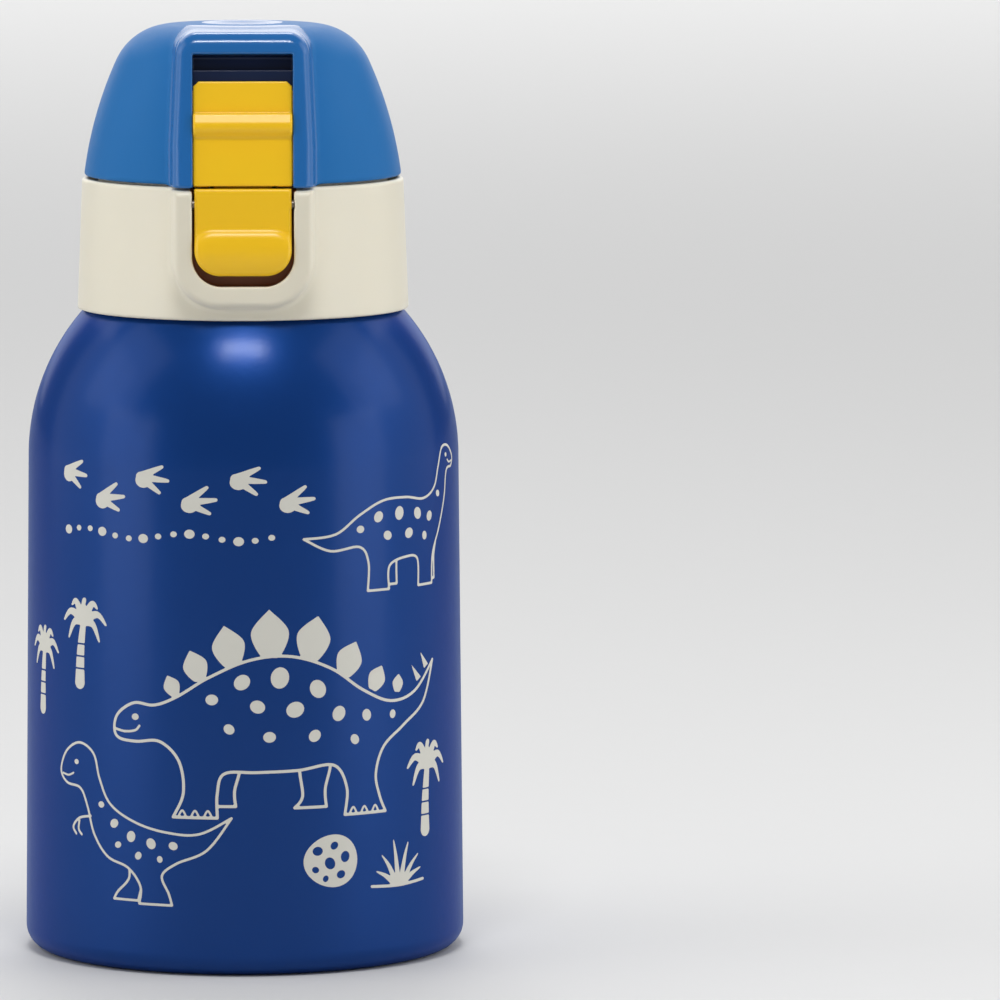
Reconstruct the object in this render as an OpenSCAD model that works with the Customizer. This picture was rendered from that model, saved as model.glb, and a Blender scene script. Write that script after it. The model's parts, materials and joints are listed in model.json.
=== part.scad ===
// Insulated drinking bottle for a child: a double-walled steel body, a screw-on collar with a
// spout, and a domed flip lid with a push button at the front and a slider that locks it.
// Millimetres, +Z up. The origin is the middle of the foot, the front is -Y, the lid's hinge +Y.

/* [Bottle] */
// Diameter of the body just above its foot
foot_d = 76; // [75.6:0.1:78]
// Diameter of the body where the shoulder begins
wall_top_d = 74.4; // [74:0.1:74.6]
// Height of the straight wall, where the shoulder begins
shoulder_z = 86; // [60:1:120]
// Thickness of the outer steel sheet
sheet_t = 0.6; // [0.4:0.1:0.8]
// Vacuum space between the two walls
vacuum_gap = 3; // [2:0.5:4]

/* [Cap] */
// Diameter of the collar at its bottom edge
collar_bottom_d = 57.2; // [57:0.1:58]
// Diameter of the collar at its top edge
collar_top_d = 55.4; // [55.2:0.1:56]
// Pitch of the screw thread between cap and bottle
thread_pitch = 4; // [3.6:0.1:4.4]
// Outer radius of the spout
spout_r = 11.5; // [10.5:0.1:11.5]
// Slope of the spout's rim, higher at the front
spout_slope = 10; // [0:1:12]

/* [Button] */
// Width of the release button
button_w = 16.8; // [16:0.1:17]
// Height of the release button
button_h = 15.1; // [14:0.1:15.2]

/* [Lid] */
// Thickness of the lid's wall
lid_t = 1.8; // [1.5:0.1:2]
// Width of the raised frame round the lock slider
bezel_w = 24.7; // [24:0.1:25]
// Width of the lock slider
slider_w = 17; // [16:0.1:17]
// Length of the lock slider
slider_h = 18.5; // [17:0.1:18.5]
// Depth of the round dish in the lid's top
dish_depth = 0.6; // [0.3:0.1:0.8]

/* [Hidden] */
$fn = 96;

// A little extra length, so that a cut runs clean through
eps = 1;

// Foot, wall and shoulder of the body
foot_round = 4;
shoulder_r = 38.2;
taper = atan((foot_d - wall_top_d) / 2 / (shoulder_z - foot_round));
foot_c = [foot_d / 2 - foot_round * cos(taper), foot_round];
shoulder_c = [wall_top_d / 2 - shoulder_r * cos(taper), shoulder_z - shoulder_r * sin(taper)];
foot_ring_r = 31;
foot_rim_h = 2.4;

// Heights above the shoulder all follow the collar's bottom edge
collar_z = shoulder_z + 24.9;
collar_top_z = collar_z + 22.9;
lip_z = collar_z + 15.6;
deck_z = collar_z + 16.3;
deck_t = 2;
lid_z = collar_top_z + 0.9;

// Neck, its two walls and the liner inside the body
neck_r = 24.5;
mouth_r = 22.9;
liner_t = 0.5;
liner_round = 8;
liner_floor_z = 5.2;
liner_inset = sheet_t + vacuum_gap;
liner_corner_r = foot_d / 2 - liner_inset - liner_round;

// Screw thread: ridge heights leave 0.35 mm of radial clearance
ridge_h = 0.75;
thread_turns = 1.25;
core_bore_r = 25.6;
core_r = 26.4;
collar_bore_r = 26.5;
male_thread_z = collar_z + 5.4;

// The collar's bore flares at its bottom, to sit over the shoulder
flare_r = shoulder_radius(collar_z) + 0.3;
flare_h = 1.9;
skirt_z = shoulder_height(core_bore_r) + 0.5;

// Plug of the cap, which carries the mouth gasket in a groove
plug_z = collar_z + 7.1;
plug_r = 22.3;
plug_inner_r = 19.8;
groove_r = 21.2;
groove_top_z = deck_z - 1.2;
vent_y = 17.5;

// Pivot of the button, and the hook that stands up from it
pivot_y = -28.3;
pivot_z = collar_z + 20.2;
pivot_r = 0.8;
fit = 0.05;
button_face_y = -29.9;
button_back_y = -28.95;
button_bottom_z = collar_top_z + 0.3 - button_h;
button_top_z = collar_top_z + 0.05;
button_round = 4.5;
boss_r = 1.55;
hook_w = 10;
hook_front_y = -26.4;
hook_back_y = -25.2;
hook_tip_y = -24.25;
hook_top_z = collar_z + 26.7;
pocket_floor_y = -27.05;
frame_face_y = -30.2;
frame_w = 24.8;
opening_w = 17.6;
pin_half = frame_w / 2 - 2;

// Slope of the lid's front, in whose frame the slider and its recess are drawn
bezel_foot = [0, -30, collar_z + 23.1];
bezel_lean = 13.2;
brow_h = 24.3;
window_w = 17.4;
window_h = 23.1;
recess_d = 2.3;
groove_w = 19;
slider_face = 0.5;
slider_t = 1.6;
slider_foot = 0.45;
leaf_w = 8;
leaf_low = 9;
leaf_high = 18;

// Lid: side arc, corner arc and crown, each tangent to the next
side_r = 68;
side_c = [-40.12, lid_z - 8.88];
corner_r = 10.5;
corner_a = 24.5;
crown_a = 85.34;
crown_r = 150;
dish_r = 6.5;
corner_c = side_c + (side_r - corner_r) * [cos(corner_a), sin(corner_a)];
crown_c = [0, corner_c[1] - (crown_r - corner_r) * sin(crown_a)];
crown_z = crown_c[1] + crown_r;

// Hinge at the back
hinge_y = 29.2;
hinge_z = collar_z + 28.5;
hinge_pin_r = 1.25;
knuckle_r = 4.8;
knuckle_in = 7.6;
knuckle_out = 13.65;
arm_y = 20;
block_w = 14.4;
block_r = 4.2;
spring_r = 2.6;
spring_wire = 0.6;
spring_turns = 3.25;
spring_pitch = 0.62;
spring_gap = 0.4;

// Spout, its seat and the seal that the lid presses on it
spout_t = 1.8;
spout_z = collar_z + 38.1;
seat_r = 12.4;
flange_r = 14.5;
seal_gap = 0.25;
seal_r = 12.6;

// Points of an arc about c, from angle a0 to a1
function arc(c, r, a0, a1, n = 16) =
    [for (i = [0:n]) c + r * [cos(a0 + (a1 - a0) * i / n), sin(a0 + (a1 - a0) * i / n)]];
function reversed(list) = [for (i = [len(list) - 1:-1:0]) list[i]];

// Radius of the shoulder at height z, and its height at radius r
function shoulder_radius(z) = shoulder_c[0] + sqrt(pow(shoulder_r, 2) - pow(z - shoulder_c[1], 2));
function shoulder_height(r) = shoulder_c[1] + sqrt(pow(shoulder_r, 2) - pow(r - shoulder_c[0], 2));

// Outside of the body from foot to lip, moved inwards by inset
function body_outline(inset, neck) = concat(
    arc(foot_c, foot_round - inset, -90, taper, 10),
    arc(shoulder_c, shoulder_r - inset, taper, acos((neck - shoulder_c[0]) / (shoulder_r - inset)), 20));

// Outside of the liner, moved inwards by inset
function liner_outline(inset) =
    let (r = liner_round - inset, neck = mouth_r + liner_t - inset)
    concat(
        arc([liner_corner_r, liner_floor_z + liner_round], r, -90, taper, 8),
        arc(shoulder_c, shoulder_r - liner_inset - inset, taper,
            acos((neck - shoulder_c[0]) / (shoulder_r - liner_inset - inset)), 20),
        [[neck, lip_z - sheet_t]]);

// Outside of the lid's dome, moved inwards by inset
function dome_outline(inset) =
    let (low = asin((lid_z - side_c[1]) / (side_r - inset)))
    concat(
        arc(side_c, side_r - inset, low, corner_a, 14),
        arc(corner_c, corner_r - inset, corner_a, crown_a, 14),
        arc(crown_c, crown_r - inset, crown_a, 90, 6),
        [[0, lid_z]]);

// Ridge or wire wound round Z: section lists its [radial, axial] points clockwise, and the ridge
// fades in and out over the share fade of its length
module helix(section, r, pitch, turns, fade = 0, steps_per_turn = 30) {
    sides = len(section);
    n = round(turns * steps_per_turn);
    points = [for (i = [0:n])
        let (a = 360 * turns * i / n, grow = fade > 0 ? min(1, i / n / fade, (n - i) / n / fade) : 1)
        for (p = section)
            let (radius = r + p[0] * (p[0] > 0 || fade == 0 ? max(grow, 0.05) : 1))
            [radius * cos(a), radius * sin(a), p[1] + pitch * turns * i / n]];
    faces = concat(
        [[for (k = [0:sides - 1]) k]],
        [for (i = [0:n - 1], k = [0:sides - 1])
            let (a = i * sides, b = a + sides, next = (k + 1) % sides)
            [a + k, b + k, b + next, a + next]],
        [[for (k = [sides - 1:-1:0]) n * sides + k]]);
    polyhedron(points = points, faces = faces);
}

// Round wire section for helix()
function wire_section(d, sides = 8) =
    [for (k = [0:sides - 1]) d / 2 * [cos(360 * k / sides), -sin(360 * k / sides)]];

// Solid drawn in the side view, as [y, z] points, and w wide
module side_extrude(w) {
    rotate([90, 0, 90])
        linear_extrude(w, center = true)
            children();
}

// Solid drawn in the front view, as [x, z] points, from y0 to y1
module front_extrude(y0, y1) {
    translate([0, y1, 0])
        rotate([90, 0, 0])
            linear_extrude(y1 - y0)
                children();
}

// Rod along X through [y, z], from x0 to x1
module rod(r, y, z, x0, x1) {
    translate([x0, y, z])
        rotate([0, 90, 0])
            cylinder(r = r, h = x1 - x0);
}

// Box between two opposite corners
module block(low, high) {
    translate(low)
        cube(high - low);
}

// Frame of the sloping front: local Y points into the lid, local Z up the slope
module on_slope() {
    translate(bezel_foot)
        rotate([-bezel_lean, 0, 0])
            children();
}

// Frame of the spout's sloping rim
module on_rim() {
    translate([0, 0, spout_z])
        rotate([-spout_slope, 0, 0])
            children();
}

// U shape, open at the top: w wide, down to bottom, with round lower corners
module u_outline(w, bottom, round, top) {
    polygon(concat(
        [[-w / 2, top]],
        arc([-w / 2 + round, bottom + round], round, 180, 270, 8),
        arc([w / 2 - round, bottom + round], round, 270, 360, 8),
        [[w / 2, top]]));
}

// Outer steel shell: foot ring, wall, shoulder, neck with its rolled thread, and lip
module outer_shell() {
    thread_section = [[-0.3, 0.9], [ridge_h, 0.45], [ridge_h, -0.45], [-0.3, -0.9]];
    color("royalblue") {
        rotate_extrude()
            polygon(concat(
                [[foot_ring_r, foot_rim_h], [foot_ring_r, 0]],
                body_outline(0, neck_r),
                [[neck_r, lip_z], [mouth_r, lip_z], [mouth_r, lip_z - sheet_t]],
                [[neck_r - sheet_t, lip_z - sheet_t]],
                reversed(body_outline(sheet_t, neck_r - sheet_t)),
                [[foot_ring_r + sheet_t, sheet_t], [foot_ring_r + sheet_t, foot_rim_h]]));
        translate([0, 0, male_thread_z])
            helix(thread_section, neck_r, thread_pitch, thread_turns, 0.08);
    }
}

// Inner steel vessel, which holds the drink: its wall, shoulder and neck
module inner_liner() {
    color("silver")
        rotate_extrude()
            polygon(concat(liner_outline(0), reversed(liner_outline(liner_t))));
}

// Round floor welded into the inner vessel
module liner_floor() {
    color("silver")
        translate([0, 0, liner_floor_z])
            cylinder(r = liner_corner_r - fit, h = liner_t);
}

// Steel plate that closes the foot, with a pressed dimple in its middle
module base_plate() {
    plate_t = 0.5;
    edge_z = 1.5;
    dimple_z = 2.4;
    edge_r = foot_ring_r - fit;
    color("gainsboro")
        rotate_extrude()
            polygon([[0, dimple_z], [7, dimple_z], [9, edge_z], [edge_r, edge_z],
                [edge_r, edge_z + plate_t], [9.3, edge_z + plate_t], [7.3, dimple_z + plate_t],
                [0, dimple_z + plate_t]]);
}

// Heat-reflecting foil wrapped round the liner's wall
module liner_foil() {
    foil_t = 0.2;
    gap = 0.3;
    low_z = liner_floor_z + liner_round + 2;
    high_z = shoulder_z - 2;
    low_r = foot_d / 2 - liner_inset + gap;
    high_r = low_r - (high_z - low_z) * tan(taper);
    color("goldenrod")
        rotate_extrude()
            polygon([[low_r, low_z], [low_r + foil_t, low_z], [high_r + foil_t, high_z], [high_r, high_z]]);
}

// Gas-absorbing pill in the vacuum space under the liner
module getter_pill() {
    pill_t = 1.2;
    color("dimgray")
        translate([0, 0, liner_floor_z - pill_t])
            cylinder(r = 4, h = pill_t);
}

// Silicone ring round the cap's plug, with two sealing lips
module bottle_gasket() {
    low = plug_z + 1.2;
    high = low + 3.6;
    inner = groove_r + 0.1;
    body = plug_r - fit;
    lip = mouth_r - 0.2;
    color("whitesmoke")
        rotate_extrude()
            polygon([[inner, low], [body, low], [lip, low + 0.6], [body, low + 1.2],
                [body, high - 1.2], [lip, high - 0.6], [body, high], [inner, high]]);
}

// Collar: the cap's outer ring, with the button's raised frame in front and the hinge block behind
module collar() {
    low_edge = 0.3;
    top_edge = 0.5;
    frame_round = 8;
    opening_round = 5;
    web_y = -22;
    ring_inner_r = collar_bore_r - eps;
    frame_bottom_z = collar_z + 2.5;
    frame_top_z = collar_top_z - 0.2;
    opening_bottom_z = collar_z + 6.2;
    slot_half = hook_w / 2 + 0.6;
    color("ivory")
        difference() {
            union() {
                rotate_extrude()
                    polygon([[ring_inner_r, collar_z], [collar_bottom_d / 2 - low_edge, collar_z],
                        [collar_bottom_d / 2, collar_z + low_edge],
                        [collar_top_d / 2, collar_top_z - top_edge],
                        [collar_top_d / 2 - top_edge, collar_top_z], [ring_inner_r, collar_top_z]]);
                front_extrude(frame_face_y, web_y)
                    u_outline(frame_w, frame_bottom_z, frame_round, frame_top_z);
                hinge_block();
            }
            rotate_extrude()
                polygon([[0, collar_z - eps], [flare_r, collar_z - eps], [flare_r, collar_z],
                    [collar_bore_r, collar_z + flare_h], [collar_bore_r, collar_top_z + eps],
                    [0, collar_top_z + eps]]);
            front_extrude(frame_face_y - eps, pocket_floor_y)
                u_outline(opening_w, opening_bottom_z, opening_round, collar_top_z + eps);
            block([-slot_half, pocket_floor_y - eps, deck_z + deck_t + 0.1],
                [slot_half, -24, collar_top_z + eps]);
            rod(boss_r + 0.2, pivot_y, pivot_z, -opening_w / 2, opening_w / 2);
            rod(pivot_r + fit, pivot_y, pivot_z, -pin_half - 0.2, pin_half + 0.2);
            rod(hinge_pin_r + fit, hinge_y, hinge_z, -block_w, block_w);
        }
}

// Block on the collar's back that carries the lid's hinge, with its barrel-shaped lid stop
module hinge_block() {
    back_y = hinge_y + block_r;
    front_y = 25.9;
    low_z = collar_top_z - 4.2;
    stop_w = 7.8;
    stop_half = 1.65;
    stop_y = back_y + 0.6;
    rod(block_r, hinge_y, hinge_z, -block_w / 2, block_w / 2);
    side_extrude(block_w)
        polygon(concat(
            [[front_y, low_z], [front_y, hinge_z], [back_y, hinge_z], [back_y, collar_top_z + 1.2]],
            arc([stop_y, low_z], 5.6, 120, 165, 6)));
    translate([0, 0, collar_top_z + 2.5])
        side_extrude(stop_w)
            polygon([[back_y - eps, -stop_half], [stop_y - 0.3, -stop_half], [stop_y, -0.9],
                [stop_y, 0.9], [stop_y - 0.3, stop_half], [back_y - eps, stop_half]]);
}

// Inside of the cap: threaded skirt, deck with its spill rim, and the plug in the bottle's mouth
module cap_core() {
    thread_section = [[-ridge_h, 0.45], [0.3, 0.9], [0.3, -0.9], [-ridge_h, -0.45]];
    vent_r = 1.6;
    rim_r = 24.2;
    rim_t = 0.8;
    rim_top_z = lid_z + 0.7;
    rim_front_half = 9.5;
    rim_back_y = 12;
    color("floralwhite") {
        difference() {
            rotate_extrude()
                polygon([[seat_r, deck_z], [plug_inner_r, deck_z], [plug_inner_r, plug_z],
                    [plug_r, plug_z], [plug_r, plug_z + 1], [groove_r, plug_z + 1],
                    [groove_r, groove_top_z], [plug_r, groove_top_z], [plug_r, deck_z],
                    [core_bore_r, deck_z], [core_bore_r, skirt_z], [core_r, skirt_z],
                    [core_r, deck_z + deck_t], [seat_r, deck_z + deck_t]]);
            translate([0, vent_y, deck_z - eps])
                cylinder(r = vent_r, h = deck_t + 2 * eps);
        }
        translate([0, 0, male_thread_z - thread_pitch / 2])
            helix(thread_section, core_bore_r, thread_pitch, thread_turns);
        difference() {
            rotate_extrude()
                polygon([[rim_r, deck_z + deck_t - 0.5], [rim_r + rim_t, deck_z + deck_t - 0.5],
                    [rim_r + rim_t, rim_top_z], [rim_r, rim_top_z]]);
            block([-rim_front_half, -30, deck_z + deck_t], [rim_front_half, 0, lid_z + 5]);
            block([-30, rim_back_y, deck_z + deck_t], [30, 30, lid_z + 5]);
        }
    }
}

// Removable drinking spout, with a sloping rim
module mouthpiece() {
    flange_z = deck_z + deck_t + 1.1;
    barrel_z = deck_z - 1.7;
    barrel_r = seat_r - 0.2;
    snap_r = seat_r + 0.4;
    bore_r = spout_r - spout_t;
    color("white")
        difference() {
            rotate_extrude()
                polygon([[bore_r, barrel_z], [barrel_r, barrel_z], [snap_r, barrel_z + 0.5],
                    [snap_r, barrel_z + 1], [barrel_r, barrel_z + 1.5], [barrel_r, flange_z],
                    [flange_r, flange_z], [flange_r, flange_z + 1.5], [spout_r, flange_z + 3],
                    [spout_r, spout_z + 5], [bore_r, spout_z + 5]]);
            on_rim()
                translate([0, 0, 10])
                    cube([60, 60, 20], center = true);
        }
}

// Flat ring that seals the spout on the deck
module mouthpiece_gasket() {
    ring_t = 0.9;
    color("gainsboro")
        translate([0, 0, deck_z + deck_t + 0.1])
            difference() {
                cylinder(r = flange_r - 0.2, h = ring_t);
                translate([0, 0, -eps])
                    cylinder(r = seat_r + 0.1, h = ring_t + 2 * eps);
            }
}

// Rubber valve that lets air back into the bottle
module vent_valve() {
    deck_top = deck_z + deck_t;
    color("gray")
        translate([0, vent_y, 0])
            rotate_extrude()
                polygon([[0, deck_z - 2], [1, deck_z - 2], [2, deck_z - 0.6], [2, deck_z - 0.1],
                    [1.5, deck_z - 0.1], [1.5, deck_top + 0.1], [2.6, deck_top + 0.1],
                    [2.2, deck_top + 1.1], [0, deck_top + 1.1]]);
}

// Steel pin that the button rocks on
module button_pin() {
    color("silver")
        rod(pivot_r, pivot_y, pivot_z, -pin_half, pin_half);
}

// Coil spring between the button's finger pad and the collar
module button_spring() {
    wire = 0.4;
    turns = 2;
    coil_r = 2.5;
    gap = 0.1;
    length = pocket_floor_y - button_back_y - 2 * gap - wire;
    color("lightgray")
        translate([0, button_back_y + gap + wire / 2, collar_z + 10.6])
            rotate([-90, 0, 0])
                helix(wire_section(wire), coil_r, length / turns, turns, 0, 20);
}

// Push button: flat above, a swelling finger pad below, and the hook that holds the lid
module release_button() {
    pad_z = collar_z + 12;
    pad_r = 9;
    pad_face_y = -31.2;
    web_low = pivot_z - 1.5;
    web_high = pivot_z + 1.2;
    nose_z = hook_top_z - 1.2;
    color("gold")
        difference() {
            union() {
                front_extrude(button_face_y, button_back_y)
                    u_outline(button_w, button_bottom_z, button_round, button_top_z);
                intersection() {
                    front_extrude(pad_face_y - eps, button_back_y)
                        u_outline(button_w, button_bottom_z, button_round, button_top_z);
                    rod(pad_r, pad_face_y + pad_r, pad_z, -button_w / 2, button_w / 2);
                }
                rod(boss_r, pivot_y, pivot_z, -button_w / 2, button_w / 2);
                block([-hook_w / 2, button_back_y - 0.3, web_low], [hook_w / 2, hook_back_y, web_high]);
                block([-hook_w / 2, hook_front_y, web_low], [hook_w / 2, hook_back_y, hook_top_z]);
                side_extrude(hook_w)
                    polygon([[hook_back_y - 0.5, nose_z], [hook_tip_y, nose_z],
                        [hook_tip_y, nose_z + 0.4], [hook_back_y, hook_top_z],
                        [hook_back_y - 0.5, hook_top_z]]);
            }
            rod(pivot_r + fit, pivot_y, pivot_z, -button_w, button_w);
        }
}

// Filled dome, moved inwards by inset
module dome(inset) {
    rotate_extrude()
        polygon(dome_outline(inset));
}

// Raised frame on the dome's front, before its window is cut
module bezel_block() {
    slope = [sin(bezel_lean), cos(bezel_lean)];
    foot = [bezel_foot[1], bezel_foot[2]];
    brow = foot + brow_h * slope;
    round = 3;
    root_y = -9;
    brow_c = brow + round * [cos(bezel_lean), -sin(bezel_lean)];
    intersection() {
        side_extrude(bezel_w)
            polygon(concat(
                [foot],
                arc(brow_c, round, 180 - bezel_lean, 97, 6),
                [[root_y, crown_z - 0.3], [root_y, lid_z], [-20, bezel_foot[2]]]));
        front_extrude(-40, 0)
            polygon(concat(
                [[-bezel_w / 2, bezel_foot[2] - eps], [bezel_w / 2, bezel_foot[2] - eps]],
                arc([bezel_w / 2 - round, crown_z - round], round, 0, 90, 6),
                arc([-bezel_w / 2 + round, crown_z - round], round, 90, 180, 6)));
    }
}

// Two hinge knuckles with the arms that tie them to the dome
module knuckles() {
    w = knuckle_out - knuckle_in;
    for (x = [-knuckle_out, knuckle_in]) {
        rod(knuckle_r, hinge_y, hinge_z, x, x + w);
        block([x, arm_y, hinge_z - knuckle_r], [x + w, hinge_y, hinge_z + knuckle_r]);
    }
}

// Hollows in the knuckles for the pin and the springs
module knuckle_cuts() {
    bore_half = knuckle_out - 0.8;
    step_half = knuckle_in + 1.1;
    spring_half = knuckle_in + 2 * spring_gap + spring_turns * spring_pitch + spring_wire / 2;
    rod(hinge_pin_r + fit, hinge_y, hinge_z, -bore_half, bore_half);
    rod(spring_r + 0.9, hinge_y, hinge_z, -spring_half, spring_half);
    block([-step_half, hinge_y - 1, hinge_z - 6], [step_half, hinge_y + 6, hinge_z - 1]);
}

// Domed lid with the slider's frame, the catch for the button's hook, and the hinge knuckles
module lid_shell() {
    notch_half = hook_w / 2 + 0.8;
    gap_half = knuckle_in - 0.05;
    gap_top_z = hinge_z + 4.7;
    rim_inner_r = 25.4;
    rib_half = 3.2;
    catch_half = 8;
    color("dodgerblue") {
        difference() {
            union() {
                dome(0);
                bezel_block();
                knuckles();
            }
            dome(lid_t);
            translate([0, 0, lid_z - eps])
                cylinder(r = rim_inner_r, h = 2 * eps);
            translate([0, 0, crown_z - dish_depth])
                cylinder(r = dish_r, h = 2);
            on_slope() {
                block([-window_w / 2, -5, -3], [window_w / 2, recess_d, window_h]);
                block([-groove_w / 2, 1, -3], [groove_w / 2, recess_d, window_h]);
            }
            block([-notch_half, -32, lid_z - 3], [notch_half, -24, lid_z + 4.1]);
            block([-gap_half, arm_y, lid_z - 3], [gap_half, 36, gap_top_z]);
            knuckle_cuts();
            detent_pocket();
        }
        block([-catch_half, -25, lid_z + 0.2], [catch_half, -22.6, lid_z + 1.5]);
        block([-rib_half, 24.2, gap_top_z - 0.3], [rib_half, 25.3, gap_top_z + 0.8]);
    }
}

// Shallow pocket behind the slider for the detent leaf
module detent_pocket() {
    half = leaf_w / 2 + 0.2;
    on_slope()
        block([-half, recess_d - eps, leaf_low - 0.2], [half, recess_d + 0.5, leaf_high + 0.2]);
}

// Steel leaf whose bump clicks into the back of the slider
module lock_detent() {
    leaf_t = 0.25;
    leaf_y = recess_d + 0.2;
    bump_r = 2;
    bump_half = 2.5;
    color("silver")
        on_slope() {
            block([-leaf_w / 2, leaf_y, leaf_low], [leaf_w / 2, leaf_y + leaf_t, leaf_high]);
            intersection() {
                rod(bump_r, leaf_y + bump_r - 0.3, (leaf_low + leaf_high) / 2, -bump_half, bump_half);
                block([-bump_half, leaf_y - 0.3, leaf_low], [bump_half, leaf_y + 0.1, leaf_high]);
            }
        }
}

// Inner cover of the lid, which holds the seal over the spout
module lid_liner() {
    cup_r = 14.2;
    neck_low = spout_z + 3;
    color("lightskyblue")
        intersection() {
            difference() {
                union() {
                    on_rim()
                        translate([0, 0, 0.5])
                            cylinder(r = cup_r, h = 4);
                    translate([0, 0, neck_low])
                        cylinder(r = 10, h = crown_z - neck_low);
                    translate([0, 0, crown_z - lid_t - 1.6])
                        cylinder(r = 16, h = 2);
                }
                on_rim()
                    translate([0, 0, -1])
                        cylinder(r = cup_r - 1.4, h = 3.35);
            }
            dome(lid_t + fit);
        }
}

// Silicone disc that the lid presses on the spout's rim
module lid_seal() {
    color("white")
        on_rim() {
            translate([0, 0, seal_gap])
                cylinder(r = seal_r, h = 2);
            translate([0, 0, -0.7])
                cylinder(r = spout_r - spout_t - 0.9, h = 1 + seal_gap);
        }
}

// Steel pin of the lid's hinge
module hinge_pin() {
    color("silver")
        rod(hinge_pin_r, hinge_y, hinge_z, -knuckle_out + 1, knuckle_out - 1);
}

// Torsion spring beside the hinge block: side is -1 at the left and 1 at the right
module lid_spring(side) {
    near = knuckle_in + spring_gap;
    length = spring_turns * spring_pitch;
    color("lightgray")
        translate([side < 0 ? -near - length : near, hinge_y, hinge_z])
            rotate([0, 90, 0])
                helix(wire_section(spring_wire), spring_r, spring_pitch, spring_turns, 0, 20);
}

// Slider that locks the button, with a finger rib and two side tongues
module lock_slider() {
    back = slider_face + slider_t;
    half = slider_w / 2;
    corner = 0.8;
    tongue_half = groove_w / 2 - 0.2;
    rib_z = 11.9;
    rib_r = 1.5;
    relief_half = hook_w / 2 + 0.8;
    color("gold")
        on_slope()
            difference() {
                union() {
                    front_extrude(slider_face, back)
                        polygon([[-half, slider_foot], [half, slider_foot], [half, slider_h - corner],
                            [half - corner, slider_h], [corner - half, slider_h],
                            [-half, slider_h - corner]]);
                    side_extrude(slider_w)
                        polygon([[slider_face + 0.2, slider_foot], [slider_face - 0.1, slider_foot],
                            [slider_face - 1.1, rib_z - 2.2], [slider_face + 0.2, rib_z]]);
                    rod(rib_r, slider_face + 0.2, rib_z, -half, half);
                    block([-tongue_half, 1.2, 1], [tongue_half, back, slider_h - 1.5]);
                }
                block([-relief_half, 1, -eps], [relief_half, back + eps, 5]);
            }
}

outer_shell();
inner_liner();
liner_floor();
base_plate();
liner_foil();
getter_pill();
bottle_gasket();
collar();
cap_core();
mouthpiece();
mouthpiece_gasket();
vent_valve();
button_pin();
button_spring();
release_button();
lid_shell();
lid_liner();
lid_seal();
hinge_pin();
lid_spring(-1);  // lid_spring_left
lid_spring(1);  // lid_spring_right
lock_slider();
lock_detent();
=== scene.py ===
"""Visual model of a child's insulated bottle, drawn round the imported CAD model.

Lengths are millimetres in the modelling code and become metres when a mesh is made. Moulded
parts are distance fields that are skinned with a fine grid of quads, round parts are lathed.
"""
import json
import math

import bpy
import numpy as np
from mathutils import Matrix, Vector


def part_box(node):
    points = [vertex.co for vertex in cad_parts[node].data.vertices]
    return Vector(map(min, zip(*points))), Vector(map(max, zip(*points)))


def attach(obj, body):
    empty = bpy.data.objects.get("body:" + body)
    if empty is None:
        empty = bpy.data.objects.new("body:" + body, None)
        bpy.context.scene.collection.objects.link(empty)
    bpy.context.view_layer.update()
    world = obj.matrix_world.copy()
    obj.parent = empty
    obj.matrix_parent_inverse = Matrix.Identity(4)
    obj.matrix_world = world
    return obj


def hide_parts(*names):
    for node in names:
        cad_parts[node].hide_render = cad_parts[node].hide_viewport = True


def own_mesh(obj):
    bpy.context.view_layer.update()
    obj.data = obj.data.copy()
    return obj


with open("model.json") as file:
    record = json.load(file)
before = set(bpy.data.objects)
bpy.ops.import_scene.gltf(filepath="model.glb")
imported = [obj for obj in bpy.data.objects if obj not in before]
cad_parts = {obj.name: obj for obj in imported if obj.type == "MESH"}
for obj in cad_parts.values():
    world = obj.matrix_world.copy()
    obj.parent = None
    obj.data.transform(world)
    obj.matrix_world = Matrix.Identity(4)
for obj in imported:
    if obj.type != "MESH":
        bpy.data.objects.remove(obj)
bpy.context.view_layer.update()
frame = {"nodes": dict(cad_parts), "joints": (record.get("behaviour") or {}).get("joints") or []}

MM = 0.001


def box_mm(node):
    """Lowest and highest corner of a CAD node, in millimetres."""
    return [np.array(corner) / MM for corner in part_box(node)]


def joint_mm(name):
    """Point on a joint's axis, in millimetres."""
    joint = next(j for j in frame["joints"] if j["name"] == name)
    return np.array(joint["pos_m"]) / MM


# Heights and radii that the CAD model gives
FOOT_R = box_mm("outer_shell")[1][0]
LIP_Z = box_mm("outer_shell")[1][2]
COLLAR_Z = box_mm("collar")[0][2]
COLLAR_BOTTOM_R = box_mm("collar")[1][0]
_, HINGE_Y, HINGE_Z = joint_mm("lid_hinge")
_, PIVOT_Y, PIVOT_Z = joint_mm("button_press")

# The same proportions as the CAD model
SHOULDER_Z = COLLAR_Z - 24.9
COLLAR_TOP_Z = COLLAR_Z + 22.9
LID_Z = COLLAR_TOP_Z + 0.9
DECK_Z = COLLAR_Z + 16.3
FOOT_ROUND = 4.0
WALL_TOP_R = FOOT_R - 0.8
SHOULDER_R = 38.2
TAPER = math.atan((FOOT_R - WALL_TOP_R) / (SHOULDER_Z - FOOT_ROUND))
NECK_R = 24.5
THREAD_PITCH = 4.0
BEZEL_FOOT_Y = -30.0
BEZEL_FOOT_Z = COLLAR_Z + 23.1
LEAN = math.radians(13.2)
RIM_SLOPE = math.radians(10)
RIM_Z = COLLAR_Z + 38.1
FLARE_R = 27.95
HINGE_BORE_R = 1.3
WINDOW_X = 8.52
HOOK_X = 5.0

# Edges drawn with a narrower gap than the CAD model's clearance
COLLAR_EDGE_Z = COLLAR_Z + 0.35
LID_EDGE_Z = COLLAR_TOP_Z + 0.42


# ---- meshes

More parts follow.
